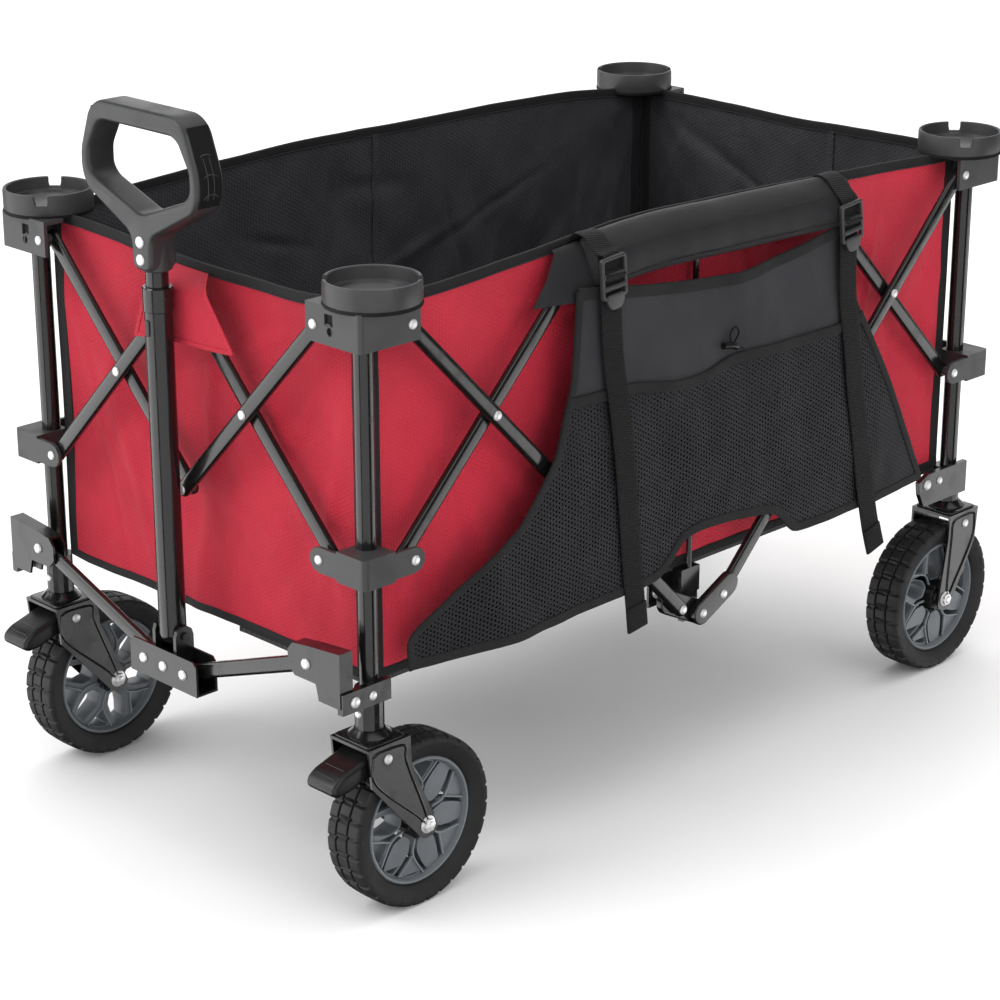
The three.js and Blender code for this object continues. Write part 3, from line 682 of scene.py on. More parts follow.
def cloth_ripple(s, z, seed, folds):
    """Slack waves in a wall: broad swells, finer creases and the long folds."""
    swell = noise.noise(Vector((s / 130, z / 115, seed))) * 6.0
    swell += noise.noise(Vector(((s + 0.7 * z) / 62, (z - 0.3 * s) / 240, seed + 4))) * 6.5
    swell += noise.noise(Vector(((s - 0.6 * z) / 34, (z + 0.3 * s) / 150, seed + 6))) * 2.6
    swell += noise.noise(Vector((s / 30, z / 40, seed + 9))) * 1.4
    swell -= 2.6 * abs(noise.noise(Vector((s / 52 + z / 90, z / 120, seed + 20)))) ** 0.7
    for s0, z0, c, n, reach, width, depth in folds:
        along, aside = (s - s0) * c + (z - z0) * n, (z - z0) * c - (s - s0) * n
        if abs(along) < 2 * reach and abs(aside) < 3 * width:
            swell += depth * math.exp(-(along / reach) ** 2 - (aside / width) ** 2)
    return 11 * math.tanh((swell - 1.5) / 11)


class Wall:
    """One fabric wall: a place on it is (s, z), along it from its middle and up from the ground."""

    def __init__(self, name, side, sign, half, out, rim, body, seed):
        self.name, self.sign, self.half, self.rim, self.body, self.seed = name, sign, half, rim, body, seed
        self.is_end = side == "end"
        self.out = out - 7
        self.folds = tension_folds(half, seed)

    def point(self, s, z, outward=0.0):
        """Point on the wall, pushed outwards by a distance."""
        end = min(1.0, (self.half - abs(s)) / 45)
        rim = self.rim(s)
        middle = math.sin(math.pi * min(1, max(0, (z - WALL_LOW) / (rim - WALL_LOW))))
        pull = 0.0
        for corner in (-1, 1):
            reach = math.hypot(self.half - corner * s, (rim - z) * 0.9)
            slope = math.atan2(rim - z + 1, self.half - corner * s + 1)
            pull += 2.2 * math.sin(9 * slope) * math.exp(-reach / 130) * min(1, reach / 30)
        swell = (cloth_ripple(s, z, self.seed, self.folds) + pull) * end * (0.25 + 0.75 * middle ** 0.6)
        distance = self.sign * (self.out - 2.0 * (1 - end) ** 2 + swell + outward)
        return (s, distance, z) if self.is_end else (distance, s, z)

    def tape(self, name, spots, width, thick, outward=-0.7, finish="binding"):
        """Tape over a line on the wall, its width lying in the wall."""
        out = (0, self.sign, 0) if self.is_end else (self.sign, 0, 0)
        path = [self.point(s, z, outward) for s, z in spots]
        return self.add(name, ribbon_mesh(path, out, width, thick), finish)

    def add(self, name, mesh, finish):
        return place_mesh(f"wall_{self.name}_{name}", mesh, finish, self.body)

    def surface(self, u, v):
        """Point at shares across and up, counted so that the sheet's outer face looks outwards."""
        way = -self.sign if self.is_end else self.sign
        s = way * (2 * u - 1) * self.half
        return self.point(s, WALL_LOW + (self.rim(s) - WALL_LOW) * v)

    def make(self):
        half, rim = self.half, self.rim
        mesh = cloth_mesh(self.surface, (130 if self.is_end else 230, 104), size=(2 * half, 366))
        cloth = place_mesh(f"wall_{self.name}", mesh, "red lining", self.body)
        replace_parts(cloth, f"panel_{self.name}")
        along = np.linspace(-half, half, 90)
        pieces = [
            self.tape("rim_tape", [(s, rim(s) - 3.6) for s in along], 11, 4.4),
            self.tape("hem_tape", [(s, WALL_LOW + 3.5) for s in along], 9, 4.0),
        ]
        for tag, s in (("a", -half + 7), ("b", half - 7)):
            spots = [(s, z) for z in np.linspace(WALL_LOW + 1, rim(s) - 4, 40)]
            pieces.append(self.tape(f"edge_tape_{tag}", spots, 15, 3.4))
        if self.name != "front":
            seam = 60 if self.is_end else 0
            spots = [(seam, z) for z in np.linspace(WALL_LOW + 4, rim(seam) - 6, 40)]
            pieces.append(self.tape("seam_tape", spots, 9, 1.6, -2.2, "lining"))
        for tag, outward in (("out", 1.9), ("in", -3.3)):
            path = [self.point(s, rim(s) - 7.6, outward) for s in along]
            pieces.append(self.add(f"stitch_{tag}", sweep_mesh(path, (0, 0, 1), circle(0.45, 6)), "cloth"))
        for piece in (cloth, *pieces):
            flatten(piece, "across" if self.is_end else "along")


def make_walls():
    Wall("front", "end", -1, 232, HALF_L, FRONT_RIM, "frame_fl", 1.3).make()
    Wall("rear", "end", 1, 232, HALF_L, REAR_RIM, "frame_rl", 4.1).make()
    Wall("left", "side", -1, 434, HALF_W, LEFT_RIM, "frame_fl", 7.7).make()
    Wall("right", "side", 1, 434, HALF_W, RIGHT_RIM, "frame_fr", 11.2).make()


def make_floor():
    """Quilted mat in three lengthwise boards, so that it can fold up between the sides."""
    for tag, body, low, high, drop in FLOOR_BOARDS:
        def surface(u, v):
            edge = min(1, min(u, 1 - u) * 12, min(v, 1 - v) * 40)
            quilt = abs(math.sin(math.pi * (v * 4))) ** 0.35
            rise = 2.6 * edge ** 0.5 * (0.35 + 0.65 * quilt)
            return (low + (high - low) * u, FLOOR_LONG * (v - 0.5), FLOOR_Z - 2.2 + rise + drop)

        mesh = cloth_mesh(surface, (24, 150), 5, (high - low, FLOOR_LONG))
        mat = place_mesh(f"floor_{tag}", mesh, "lining cloth", body)
        if tag == "middle":
            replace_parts(mat, "floor_mat")
        flatten(mat, "along")


def make_front_flap():
    """Cloth flap hung from the front rim behind the handle, widening down over the tops of the short bars."""
    def surface(u, v):
        lean = FLAP_LEAN * (1 - max(0, (v - 0.78) / 0.22) ** 2)
        left, right = -60 + 30 * v, 90 - 46 * v - 0.8 * (FLAP_LEAN - lean)
        x = left + (right - left) * u
        bottom = 519 + 14 * u + 2 * math.sin(5 * u)
        return (x, -(HALF_L - 4.5 + lean), bottom + (FRONT_RIM(x) - 5 - bottom) * v)

    mesh = cloth_mesh(surface, (60, 30), 0.9, (130, 78))
    flap = place_mesh("front_flap", mesh, "red red", "frame_fl")
    up = np.linspace(0, 0.97, 30)
    lines = ([(u, 0.02) for u in np.linspace(0, 1, 40)], [(0.985, v) for v in up], [(0.015, v) for v in up])
    seams = []
    for tag, line in zip("abc", lines):
        seam = ribbon_mesh([surface(u, v) for u, v in line], (0, 1, 0), 4.5, 1.8)
        seams.append(place_mesh(f"front_flap_seam_{tag}", seam, "red", "frame_fl"))
    for piece in (flap, *seams):
        flatten(piece, "across")


# ---------------------------------------------------------------- side pocket, sleeve and straps

SLEEVE_FRONT, SLEEVE_REAR = -172, 210
SLEEVE_RIM_Z = 618
BUCKLE_X = 279.5

# Outline of the pocket: its slanted ends by share of its height, its edges by place along the side
POCKET_FRONT = curve_through([
    (0, -408), (0.10, -415), (0.22, -350), (0.34, -281), (0.52, -226), (0.72, -202), (1, -196),
], 0.02)
POCKET_REAR = curve_through([(0, 374), (0.24, 323), (0.5, 272), (0.72, 230), (0.9, 206), (1, 200)])
POCKET_TOP = curve_through([
    (-200, 574), (-140, 565), (-82, 556), (-24, 549), (37, 545), (99, 551), (172, 561), (205, 566),
])
POCKET_BOTTOM = curve_through([
    (-415, 247), (-276, 241), (-179, 246), (-78, 249), (-57, 264), (-50, 278), (-38, 286), (-15, 289),
    (31, 286), (80, 280), (104, 275), (118, 264), (130, 246), (150, 244), (283, 243), (380, 243),
], 0.008)
HEM_LINE = curve_through([
    (-215, 470), (-125, 468), (-82, 460), (-30, 450), (-5, 456), (22, 464), (85, 463), (133, 461), (216, 464),
    (250, 468),
])


def pocket_part(name, mesh, finish):
    """Piece of the pocket, sleeve or straps: it rides on the front right post."""
    return flatten(place_mesh(name, mesh, finish, "frame_fr"), "pocket")


def pocket_side(y, z, outward=0.0):
    """X of the hanging pocket at a place on the side: clear of the bars, drawn in towards its far corners."""
    ends = max(0.0, min(1.0, (abs(y + 15) - 290) / 120))
    low = max(0.0, min(1.0, (420 - z) / 180))
    swing = noise.noise(Vector(((y + 0.5 * z) / 55, (z - 0.3 * y) / 150, 3.3))) * 6.5
    swing += noise.noise(Vector((y / 26, z / 48, 5.1))) * 1.6
    belly = 3.5 * math.sin(math.pi * min(1, max(0, (z - 250) / 210))) * (1 - ends)
    return 270 + belly * 0.6 + swing * 0.6 - 14 * ends * low + outward


def pocket_surface(bottom_of, top_of, outward, inset=0.0):
    def surface(u, v):
        share = v
        for _ in range(3):
            left, right = POCKET_FRONT(share) + inset, POCKET_REAR(share) - inset
            y = left + (right - left) * u
            low, high = bottom_of(y), top_of(y)
            z = low + (high - low) * v
            share = min(1, max(0, (z - POCKET_BOTTOM(y)) / (POCKET_TOP(y) - POCKET_BOTTOM(y))))
        return (pocket_side(y, z, outward), y, z)
    return surface


def make_pocket():
    """Cloth panel, net and lining of the pocket, with tapes along their edges. The lining is the pocket's
    real back cloth, darkened to near black as painted shade inside the pocket.
    """
    panel = pocket_surface(lambda y: HEM_LINE(y) - 60, POCKET_TOP, 0)
    net = pocket_surface(POCKET_BOTTOM, HEM_LINE, 1.6)
    lining = pocket_surface(POCKET_BOTTOM, lambda y: HEM_LINE(y) - 6, -2.4, 3)
    back = pocket_part("pocket_panel", cloth_mesh(panel, (120, 50), 1.0), "cloth cloth")
    front = pocket_part("pocket_net", cloth_mesh(net, (170, 60), 0.7), "mesh mesh")
    # lining in the darkened backing: partly real cloth, partly painted shade inside the pocket
    inner = pocket_part("pocket_lining", cloth_mesh(lining, (120, 40), 0.8), "backing backing")
    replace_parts(back, "side_pocket")

    def edge(surface, name, spots, width, thick=3.0):
        ribbon = ribbon_mesh([surface(u, v) for u, v in spots], (1, 0, 0), width, thick)
        return pocket_part(f"pocket_{name}", ribbon, "binding")

    across, up = np.linspace(0, 1, 110), np.linspace(0, 1, 50)
    panel_tapes = [edge(panel, "top_tape", [(u, 0.985) for u in across], 12)]
    net_tapes = [
        edge(net, "hem_elastic", [(u, 0.975) for u in across], 11, 3.6),
        edge(net, "bottom_tape", [(u, 0.02) for u in across], 10),
        edge(net, "front_tape", [(0.004, v) for v in up], 9),
        edge(net, "rear_tape", [(0.996, v) for v in up], 9),
    ]
    panel_tapes += [
        edge(panel, "front_tape_upper", [(0.006, v) for v in up], 9),
        edge(panel, "rear_tape_upper", [(0.994, v) for v in up], 9),
    ]


def make_toggle():
    """Cord lock at the middle of the elastic hem, with its two short tails."""
    y, z = 22, 476
    x = pocket_side(y, z) + 6
    path = smooth_path([(x, y - 13, z + 2), (x + 1, y, z), (x, y + 7, z - 3)], 12)
    pocket_part("cord_lock", sweep_mesh(path, (0, 0, 1), circle(3.6, 14)), "black")
    for tag, steps in (
        ("a", [(0, 2, 0), (2, 8, 12), (1, 3, 19), (0, -3, 12), (0, -1, 1)]),
        ("b", [(0, 4, -2), (2, 14, -5), (2, 20, -10)]),
    ):
        path = smooth_path([(x + a, y + b, z + c) for a, b, c in steps], 24)
        pocket_part(f"cord_tail_{tag}", sweep_mesh(path, (1, 0, 0.2), circle(1.1, 8)), "webbing")


def make_sleeve():
    """Padded roll along the rim: fixed behind the rim tape, rolled over and down past the bars."""
    shape = [(241, 620), (247, 622.5), (254, 620), (262, 614), (269, 606), (274, 596), (276, 585), (273, 575),
             (267, 569), (261, 570), (258, 577), (258, 588), (255, 599), (249, 607), (243, 612)]
    middle = np.array((258, 596))
    rings = []
    for y in np.linspace(SLEEVE_FRONT, SLEEVE_REAR, 90):
        rise = RIGHT_RIM(y) - SLEEVE_RIM_Z
        end = min(1, (y - SLEEVE_FRONT) / 14, (SLEEVE_REAR - y) / 14)
        full = 0.80 + 0.20 * math.sqrt(max(0, min(1, end)))
        crease = noise.noise(Vector((y / 26, 1.7, 0))) * 1.3
        ring = []
        for k, spot in enumerate(shape):
            x, z = middle + (np.array(spot) - middle) * full
            ripple = noise.noise(Vector((y / 40, k * 0.7, 2.2))) * 0.9
            ring.append((x + crease * (spot[0] > 262) + ripple * 0.5, y, z + rise + ripple))
        rings.append(ring)
    pad = place_mesh("rim_sleeve", loft_mesh(rings), "sleeve", "frame_fr", 60)
    smoother = pad.modifiers.new("soft", "SUBSURF")
    smoother.levels = smoother.render_levels = 1
    flatten(pad, "pocket")
    for tag, below, x in (("a", 40, 274.4), ("b", 13, 271.6)):
        path = [(x, y, RIGHT_RIM(y) - below) for y in np.linspace(-160, 198, 80)]
        pocket_part(f"sleeve_stitch_{tag}", sweep_mesh(path, (0, 0, 1), circle(0.5, 6)), "webbing")


def make_gussets():
    """Cloth corners that tie each end of the sleeve to the rim and the pocket."""
    for tag, inner_y, outer_y in (("front", -166, -232), ("rear", 205, 232)):
        def surface(u, v):
            u = u if inner_y > outer_y else 1 - u
            slant = (42 * v - 14) * (1 - u) if tag == "front" else 0
            y = outer_y + (inner_y - outer_y) * u + slant
            bottom = 560 + (1 - u) * (22 if tag == "rear" else 4)
            z = bottom + (RIGHT_RIM(y) - 3 - bottom) * v
            sag = noise.noise(Vector((y / 22, z / 26, 8.8))) * 1.5
            return (241.5 + (27 * (1 - v) ** 0.45) * (0.62 + 0.38 * u) + sag * min(1, (1 - v) * 4), y, z)

        width = abs(outer_y - inner_y)
        cloth = pocket_part(f"gusset_{tag}", cloth_mesh(surface, (36, 26), 1.2, (width, 58)), "sleeve sleeve")


def buckle_mesh(y, z, lean):
    """Ladder-lock buckle: frame, two cross bars and a rounded tongue, leaning in the plane of the side."""
    c, s = math.cos(lean), math.sin(lean)

    def plate(shape, radius, back, front, bevel, holes=()):
        rings = [rounded(shape, radius), *holes]
        shape, *holes = ([(y + a * c - b * s, z + a * s + b * c) for a, b in ring] for ring in rings)
        return slab_mesh(shape, holes, "x", BUCKLE_X + back, BUCKLE_X + front, bevel)

    bars = [[(-15, h - 2.6), (15, h - 2.6), (15, h + 2.6), (-15, h + 2.6)] for h in (3.5, -8.5)]
    tongue = [(-12, -15), (12, -15), (12, -23), (7, -31), (-7, -31), (-12, -23)]
    window = rounded(rectangle(-13.6, 13.6, -16.4, 18.4), 2)
    return merge([
        plate(rectangle(-17, 17, -20, 22), 4, -2.4, 2.4, 1.1, [window]),
        *(plate(bar, 1, -1.6, 3.2, 1.2) for bar in bars),
        plate(tongue, 5, -0.6, 3.0, 1.0),
    ])


def make_straps():
    """Webbing over the sleeve, through each buckle, then hanging in front of the pocket to a folded end."""
    x = BUCKLE_X
    for tag, y, z, foot_y, foot_z, over, length, curl, phase in (
        ("front", -159, 582, -112, 207, -164, 0.385, False, 0),
        ("rear", 201, 572, 273, 190, 196, 0.40, True, 1),
    ):
        rim = RIGHT_RIM(over)
        path = smooth_path([
            (233, over, rim - 34), (235, over, rim - 8), (243, over, rim + 5), (256, over + 1, rim + 3.5),
            (268, over + 2, rim - 8), (276.5, y, z + 22), (x - 2.6, y, z + 8), (x + 3.8, y, z + 3),
            (x - 1.5, y + 1, z - 3), (x - 3, y + 1, z - 12),
        ], 90)
        loop = pocket_part(f"strap_{tag}_loop", sweep_mesh(path, (0, 1, 0), section(26.5, 1.9)), "webbing")
        spots = [(x - 2.6, y, z - 12), (x - 3.2, y + 1, z - 32)]
        for share in (0.15, 0.3, 0.45, 0.6, 0.75, 0.9, 1.0):
            ty = y + (foot_y - y) * (0.35 * share + 0.65 * share ** 1.6 if curl else share)
            tz = z - 30 + (foot_z - z + 30) * share
            spots.append((max(pocket_side(ty, tz), 268) + 4.6 + 1.2 * math.sin(6.3 * share + phase), ty, tz))
        hang = smooth_path(spots, 110)
        width = np.cross(np.gradient(hang, axis=0), (1, 0, 0))
        tail = pocket_part(f"strap_{tag}_tail", sweep_mesh(hang, width, section(28, 1.9)), "webbing")
        end = hang[-9:] + np.array((1.4, 0, 0))
        hem = pocket_part(f"strap_{tag}_hem", sweep_mesh(end, width[-9:], section(28.4, 2.6)), "webbing")
        lean = math.atan2(foot_y - y, z - foot_z) * 0.6
        lock = pocket_part(f"buckle_{tag}", buckle_mesh(y, z, lean), "grip")


# ---------------------------------------------------------------- wheels

# Half the tyre's section: place out from the middle, radius, depth of the cuts, and their shift round it
TREAD = [
    (15.0, 64.6, 0, 0), (17.6, 66.6, 0, 0), (19.4, 70.5, 0, 0), (20.6, 75.5, 0, 0), (20.9, 77.0, 1.5, 0),
    (22.0, 80.5, 2.2, 0), (21.6, 83.6, 3.2, 1), (20.3, 85.6, 3.8, 1), (17.5, 86.4, 4.2, 1),
    (9.6, 86.9, 4.4, 2), (9.0, 86.6, 4.4, 2), (8.2, 82.6, 0, 0), (7.2, 82.6, 0, 0), (6.4, 86.7, 4.2, -1),
    (5.8, 87.0, 4.2, -1),
]
TREAD_BLOCKS = 30
TREAD_STEPS = 8
WHEEL_TURN = {"fl": 12, "fr": 20, "rl": 34, "rr": 5}
SPOKES = 6
CORE_TEETH = 28


def polar(radius, degrees):
    return (radius * math.cos(math.radians(degrees)), radius * math.sin(math.radians(degrees)))


def tyre_mesh(centre):
    """Tyre with three rows of angular blocks: the two outer rows run down over the shoulder as lugs."""
    x, y, z = centre
    columns = [(-a, *rest, -1) for a, *rest in TREAD] + [(a, *rest, 1) for a, *rest in reversed(TREAD)]
    rings = []
    for k in range(TREAD_BLOCKS * TREAD_STEPS):
        angle = 2 * math.pi * k / (TREAD_BLOCKS * TREAD_STEPS)
        ring = []
        for a, r, depth, shift, side in columns:
            offset = TREAD_STEPS // 2 + side if shift < 0 else 1 + side
            radius = r if (k + shift + offset) % TREAD_STEPS else r - depth * 0.7
            ring.append((x + a, y + radius * math.cos(angle), z + radius * math.sin(angle)))
        rings.append(ring)
    return loft_mesh(rings, closed=True)


def spoke_holes(y, z, start):
    """Windows of a wheel with Y-shaped spokes."""
    fork = [(40, 0), (50, -9), (57.2, -13), (58.2, -5), (58.2, 5), (57.2, 13), (50, 9)]
    gap = [(23, 17), (34, 12), (46, 18), (57.4, 23), (58.2, 30), (57.4, 37), (46, 42), (34, 48), (23, 43),
           (22, 30)]
    holes = []
    for i in range(SPOKES):
        for ring in (fork, gap):
            outline = rounded([polar(r, start + 60 * i + turn) for r, turn in ring], 2.0, 3)
            holes.append([(y + u, z + v) for u, v in outline])
    return holes


def make_wheel(tag):
    """Tyre, rim barrel, spoked disc, raised lines on the spokes and the toothed hub core. The raised lines
    and the beads on the barrel take a lighter copy of the wheel plastic as painted highlight.
    """
    body = f"wheel_{tag}"
    x, y, _ = place_of(f"tyre_{tag}")
    centre = (x, y, AXLE_Z)
    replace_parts(place_mesh(f"tread_{tag}", tyre_mesh(centre), "rubber", body, 25), f"tyre_{tag}")
    barrel = [(65.4, -14), (65.4, 14), (64.2, 15.8), (62.4, 16), (60.8, 14.5), (58.8, 8), (58.2, 0),
              (58.8, -8), (60.8, -14.5), (62.4, -16), (64.2, -15.8), (65.4, -14)]
    rim = place_mesh(f"rim_{tag}", turn_mesh(barrel, "x", centre, 72), "rim", body)
    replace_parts(rim, f"hub_{tag}")
    start = WHEEL_TURN[tag]
    disc = [(y + u, AXLE_Z + v) for u, v in (polar(60.2, 5 * i) for i in range(72))]
    web = slab_mesh(disc, spoke_holes(y, AXLE_Z, start), "x", x - 11, x + 11, 1.6)
    place_mesh(f"spokes_{tag}", web, "rim", body)
    raised = []
    for side in (-1, 1):
        for i in range(SPOKES):
            a = start + 60 * i
            for line in ([polar(20, a), polar(37, a), polar(59, a + 16)], [polar(37, a), polar(59, a - 16)]):
                path = [(x + side * (11.8 if k else 11.2), y + u, AXLE_Z + v)
                        for k, (u, v) in enumerate(line)]
                raised.append(sweep_mesh(smooth_path(path, 10), (1, 0, 0), section(3.0, 2.0, 8)))
        bead = [(62.6 + u, side * 15.6 + v) for u, v in circle(1.2, 8)]
        raised.append(turn_mesh(bead + bead[:1], "x", centre, 72))
    # raised lines and beads in the lighter copy: painted highlight on the ridges
    place_mesh(f"rim_edges_{tag}", merge(raised), "rim_ridge_highlight", body)
    teeth = [polar(17.5 if i % 2 else 15.0, 360 * i / CORE_TEETH) for i in range(CORE_TEETH)]
    core = slab_mesh([(y + u, AXLE_Z + v) for u, v in teeth], [], "x", x - 18.5, x + 18.5, 1.0)
    boss = [(0, -20.5), (8, -20.5), (10.5, -18), (10.5, 18), (8, 20.5), (0, 20.5)]
    core = merge([core, turn_mesh(boss, "x", centre, 32)])
    place_mesh(f"wheel_core_{tag}", core, "black", body)


# ---------------------------------------------------------------- forks, levers and hardware

FORK_FACE = 27.2
DECK_LOW, DECK_HIGH = 186.4, 189.2


def make_fork_trim(tag):
    """Pressed rib on each fork leg, the ledge on the deck, and the silver bolts."""
    sy = CORNERS[tag][1]
    x0, y0, _ = place_of(f"post_{tag}")
    axle_y = place_of(f"tyre_{tag}")[1]
    body = "caster_" + tag if sy < 0 else "frame_" + tag
    trail = (axle_y - y0) * -sy
    outline = [(20, 179), (17, 150), (-trail + 13, 100), (-trail + 8, 93), (-trail + 2, 97), (-22, 160),
               (-21, 176), (-14, 181), (12, 182), (20, 179)]
    ribs, bolts = [], []
    for side in (-1, 1):
        x = x0 + side * FORK_FACE
        path = [(x, y0 + sy * v, z) for v, z in outline]
        ribs.append(sweep_mesh(smooth_path(path, 70), (1, 0, 0), circle(1.25, 8)))
        bolts.append(hex_bolt_mesh((x, axle_y, AXLE_Z), side, 7.2, 3.8))
        bolts.append(dome_mesh((x, y0 + sy * 2, 172), (side, 0, 0), 5, 2))
    plan = rounded([(x0 - 25, y0 - 24), (x0 + 25, y0 - 24), (x0 + 25, y0 + 23), (x0 - 25, y0 + 23)], 5)
    ribs.append(slab_mesh(plan, [], "z", DECK_LOW, DECK_HIGH, 0.9))
    cone = [(0, 187), (21, 187), (21, 190.5), (19, 192), (15, 196.2), (0, 196.2)]
    ribs.append(turn_mesh(cone, "z", (x0, y0, 0), 40))
    place_mesh(f"fork_ribs_{tag}", merge(ribs), "bracket", body)
    place_mesh(f"fork_bolts_{tag}", merge(bolts), "silver", body)


def make_lever(tag):
    """Foot lever of a front brake, with three ribs across its tread."""
    sy = CORNERS[tag][1]
    x0, y0, _ = place_of(f"post_{tag}")
    side = [(-5, 168), (-5, 176), (4, 180), (16, 178), (34, 172), (54, 166), (63, 159), (64, 151),
            (57, 146.5), (42, 148), (26, 154), (8, 163)]
    pads = [slab_mesh(rounded([(y0 + sy * v, z) for v, z in side], 5), [], "x", x0 - 20, x0 + 20, 4.5)]
    for v in (44, 50, 56):
        path = [(x0 + a, y0 + sy * v, 168.5 - (v - 44) * 0.42) for a in np.linspace(-13, 13, 8)]
        pads.append(sweep_mesh(path, (0, 1, 0), circle(0.9, 6)))
    lever = place_mesh(f"lever_{tag}", merge(pads), "black", f"brake_{tag}")
    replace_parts(lever, f"brake_lever_{tag}")


def make_post(tag):
    x, y, _ = place_of(f"post_{tag}")
    profile = [(0, POST_LOW), (POST_R - 1, POST_LOW), (POST_R, POST_LOW + 1), (POST_R, POST_HIGH - 1),
               (POST_R - 1, POST_HIGH), (0, POST_HIGH)]
    pole = turn_mesh(profile, "z", (x, y, 0), 40)
    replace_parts(place_mesh(f"pole_{tag}", pole, "post", f"frame_{tag}"), f"post_{tag}")


CUP_SHIFT = 13
CUP_STEPS = 144
NOTCH_HALF = 0.15
NOTCH_Z = 618.6
CUP_WALL = [(41.2, 603.6), (44.7, 606.6), (45.3, 611), (45.4, 626.4), (44.6, 628.4), (43.0, 628.6),
            (41.8, 627.6), (41.2, 622), (40.6, 617), (36.5, 616.4), (35.6, 613.6), (34, 612.6), (0, 612.4)]
CUP_FLOOR = [(0, 612.0), (33.4, 612.0), (33.4, 612.9), (32.8, 613.3), (0, 613.3)]
# ring of painted shade for the gap at the foot of the cup
CUP_GAP = [(44.0, 604.6), (45.5, 604.6), (45.9, 606.0), (45.5, 607.8), (44.0, 607.8), (44.0, 604.6)]
LATCH_HOOK = [(22.5, 583), (19.5, 588), (13.5, 588.5), (10.5, 583), (11.5, 577)]


def make_cup(tag):
    """Cup dish on a corner cap, with a stepped floor and two notches, and the latch opening in its face. The
    floor disc is a lighter copy of the cap plastic as painted top light; the gap at the cup's foot and the
    latch opening are near-black sheets of painted shade.
    """
    sx, sy = CORNERS[tag]
    x0, y0, _ = place_of(f"post_{tag}")
    y_cup = y0 - sy * CUP_SHIFT

    def add(name, mesh, finish, crease=38):
        place_mesh(f"{name}_{tag}", mesh, finish, f"frame_{tag}", crease)

    rings = []
    for k in range(CUP_STEPS):
        angle = 2 * math.pi * k / CUP_STEPS
        c, s = math.cos(angle), math.sin(angle)
        top = NOTCH_Z if abs(c * sy + s * sx) / math.sqrt(2) < NOTCH_HALF else math.inf
        rings.append([(x0 + r * c, y_cup + r * s, min(z, top)) for r, z in CUP_WALL])
    underside = tuple(i * len(CUP_WALL) for i in range(CUP_STEPS - 1, -1, -1))
    add("cup", ring_mesh(rings, [underside]), "cap", 30)
    # floor disc in the lighter copy of the cap plastic: painted top light
    add("cup_floor_painted_light", turn_mesh(CUP_FLOOR, "z", (x0, y_cup, 0), 64), "cup")
    # ring of painted shade in the gap at the foot of the cup
    add("cup_gap_shade", turn_mesh(CUP_GAP, "z", (x0, y_cup, 0), 72), "dark")
    # the latch opening is a thin near-black sheet of painted shade on the cap's face
    face = sorted((y0 + sy * 24, y0 + sy * 24.6))
    square = [(x0 - sx * a, z) for a, z in ((26.5, 586.0), (8.5, 586.0), (8.5, 601.0), (26.5, 601.0))]
    bead = [(x0 - sx * 15.5 + u, 580 + v) for u, v in circle(7.4, 24)]
    opening = [slab_mesh(ring, [], "y", *face, 0.1) for ring in (rounded(square, 1), bead)]
    add("keyhole", merge(opening), "dark")
    hook = smooth_path([(x0 - sx * a, y0 + sy * 25.6, z) for a, z in LATCH_HOOK], 20)
    add("keyhole_hook", sweep_mesh(hook, (0, 1, 0), circle(1.3, 8)), "cap")


def add_rivets(body, name, spots):
    """Silver rivet heads on one body: point and direction of each, and its size where it differs."""
    place_mesh(name, merge([dome_mesh(*spot) for spot in spots]), "silver", body)


# Rivets of the feet: places out from the post sideways and forwards or backwards, height, facing, size
FRONT_FOOT_RIVETS = (
    (-33, 48, 264, "ahead", 5.6, 2.8), (16.5, 32, 236, "aside", 5.4, 2.8), (16.5, 10, 236, "aside", 4.4, 2.1),
    (0, 14, 213, "ahead", 3.9, 2),
)
REAR_FOOT_RIVETS = ((16, -60, 231, "aside", 6, 2.8), (16, -37, 231, "aside", 4.5, 2.1))


def make_corner_rivets():
    """Rivets through the caps, the sliding clamps and the feet, all on the pivot lines of the bars."""
    clamp_z = middle_of("clamp_fl").z / MM
    for tag, (sx, sy) in CORNERS.items():
        x0, y0 = sx * HALF_W, sy * HALF_L
        ahead, aside = (0, sy, 0), (sx, 0, 0)
        for part, body, z in (("cap", f"frame_{tag}", TOP_PIVOT_Z), ("clamp", f"clamp_{tag}", clamp_z)):
            add_rivets(body, f"{part}_rivets_{tag}", [
                ((x0 - sx * PIVOT_IN, y0 + sy * PIVOT_OUT, z), ahead),
                ((x0 + sx * PIVOT_OUT, y0 - sy * PIVOT_IN, z), aside),
            ])
        spots = FRONT_FOOT_RIVETS if sy < 0 else REAR_FOOT_RIVETS
        add_rivets(f"frame_{tag}", f"foot_rivets_{tag}", [
            ((x0 + sx * a, y0 + sy * b, z), ahead if facing == "ahead" else aside, radius, height)
            for a, b, z, facing, radius, height in spots
        ])


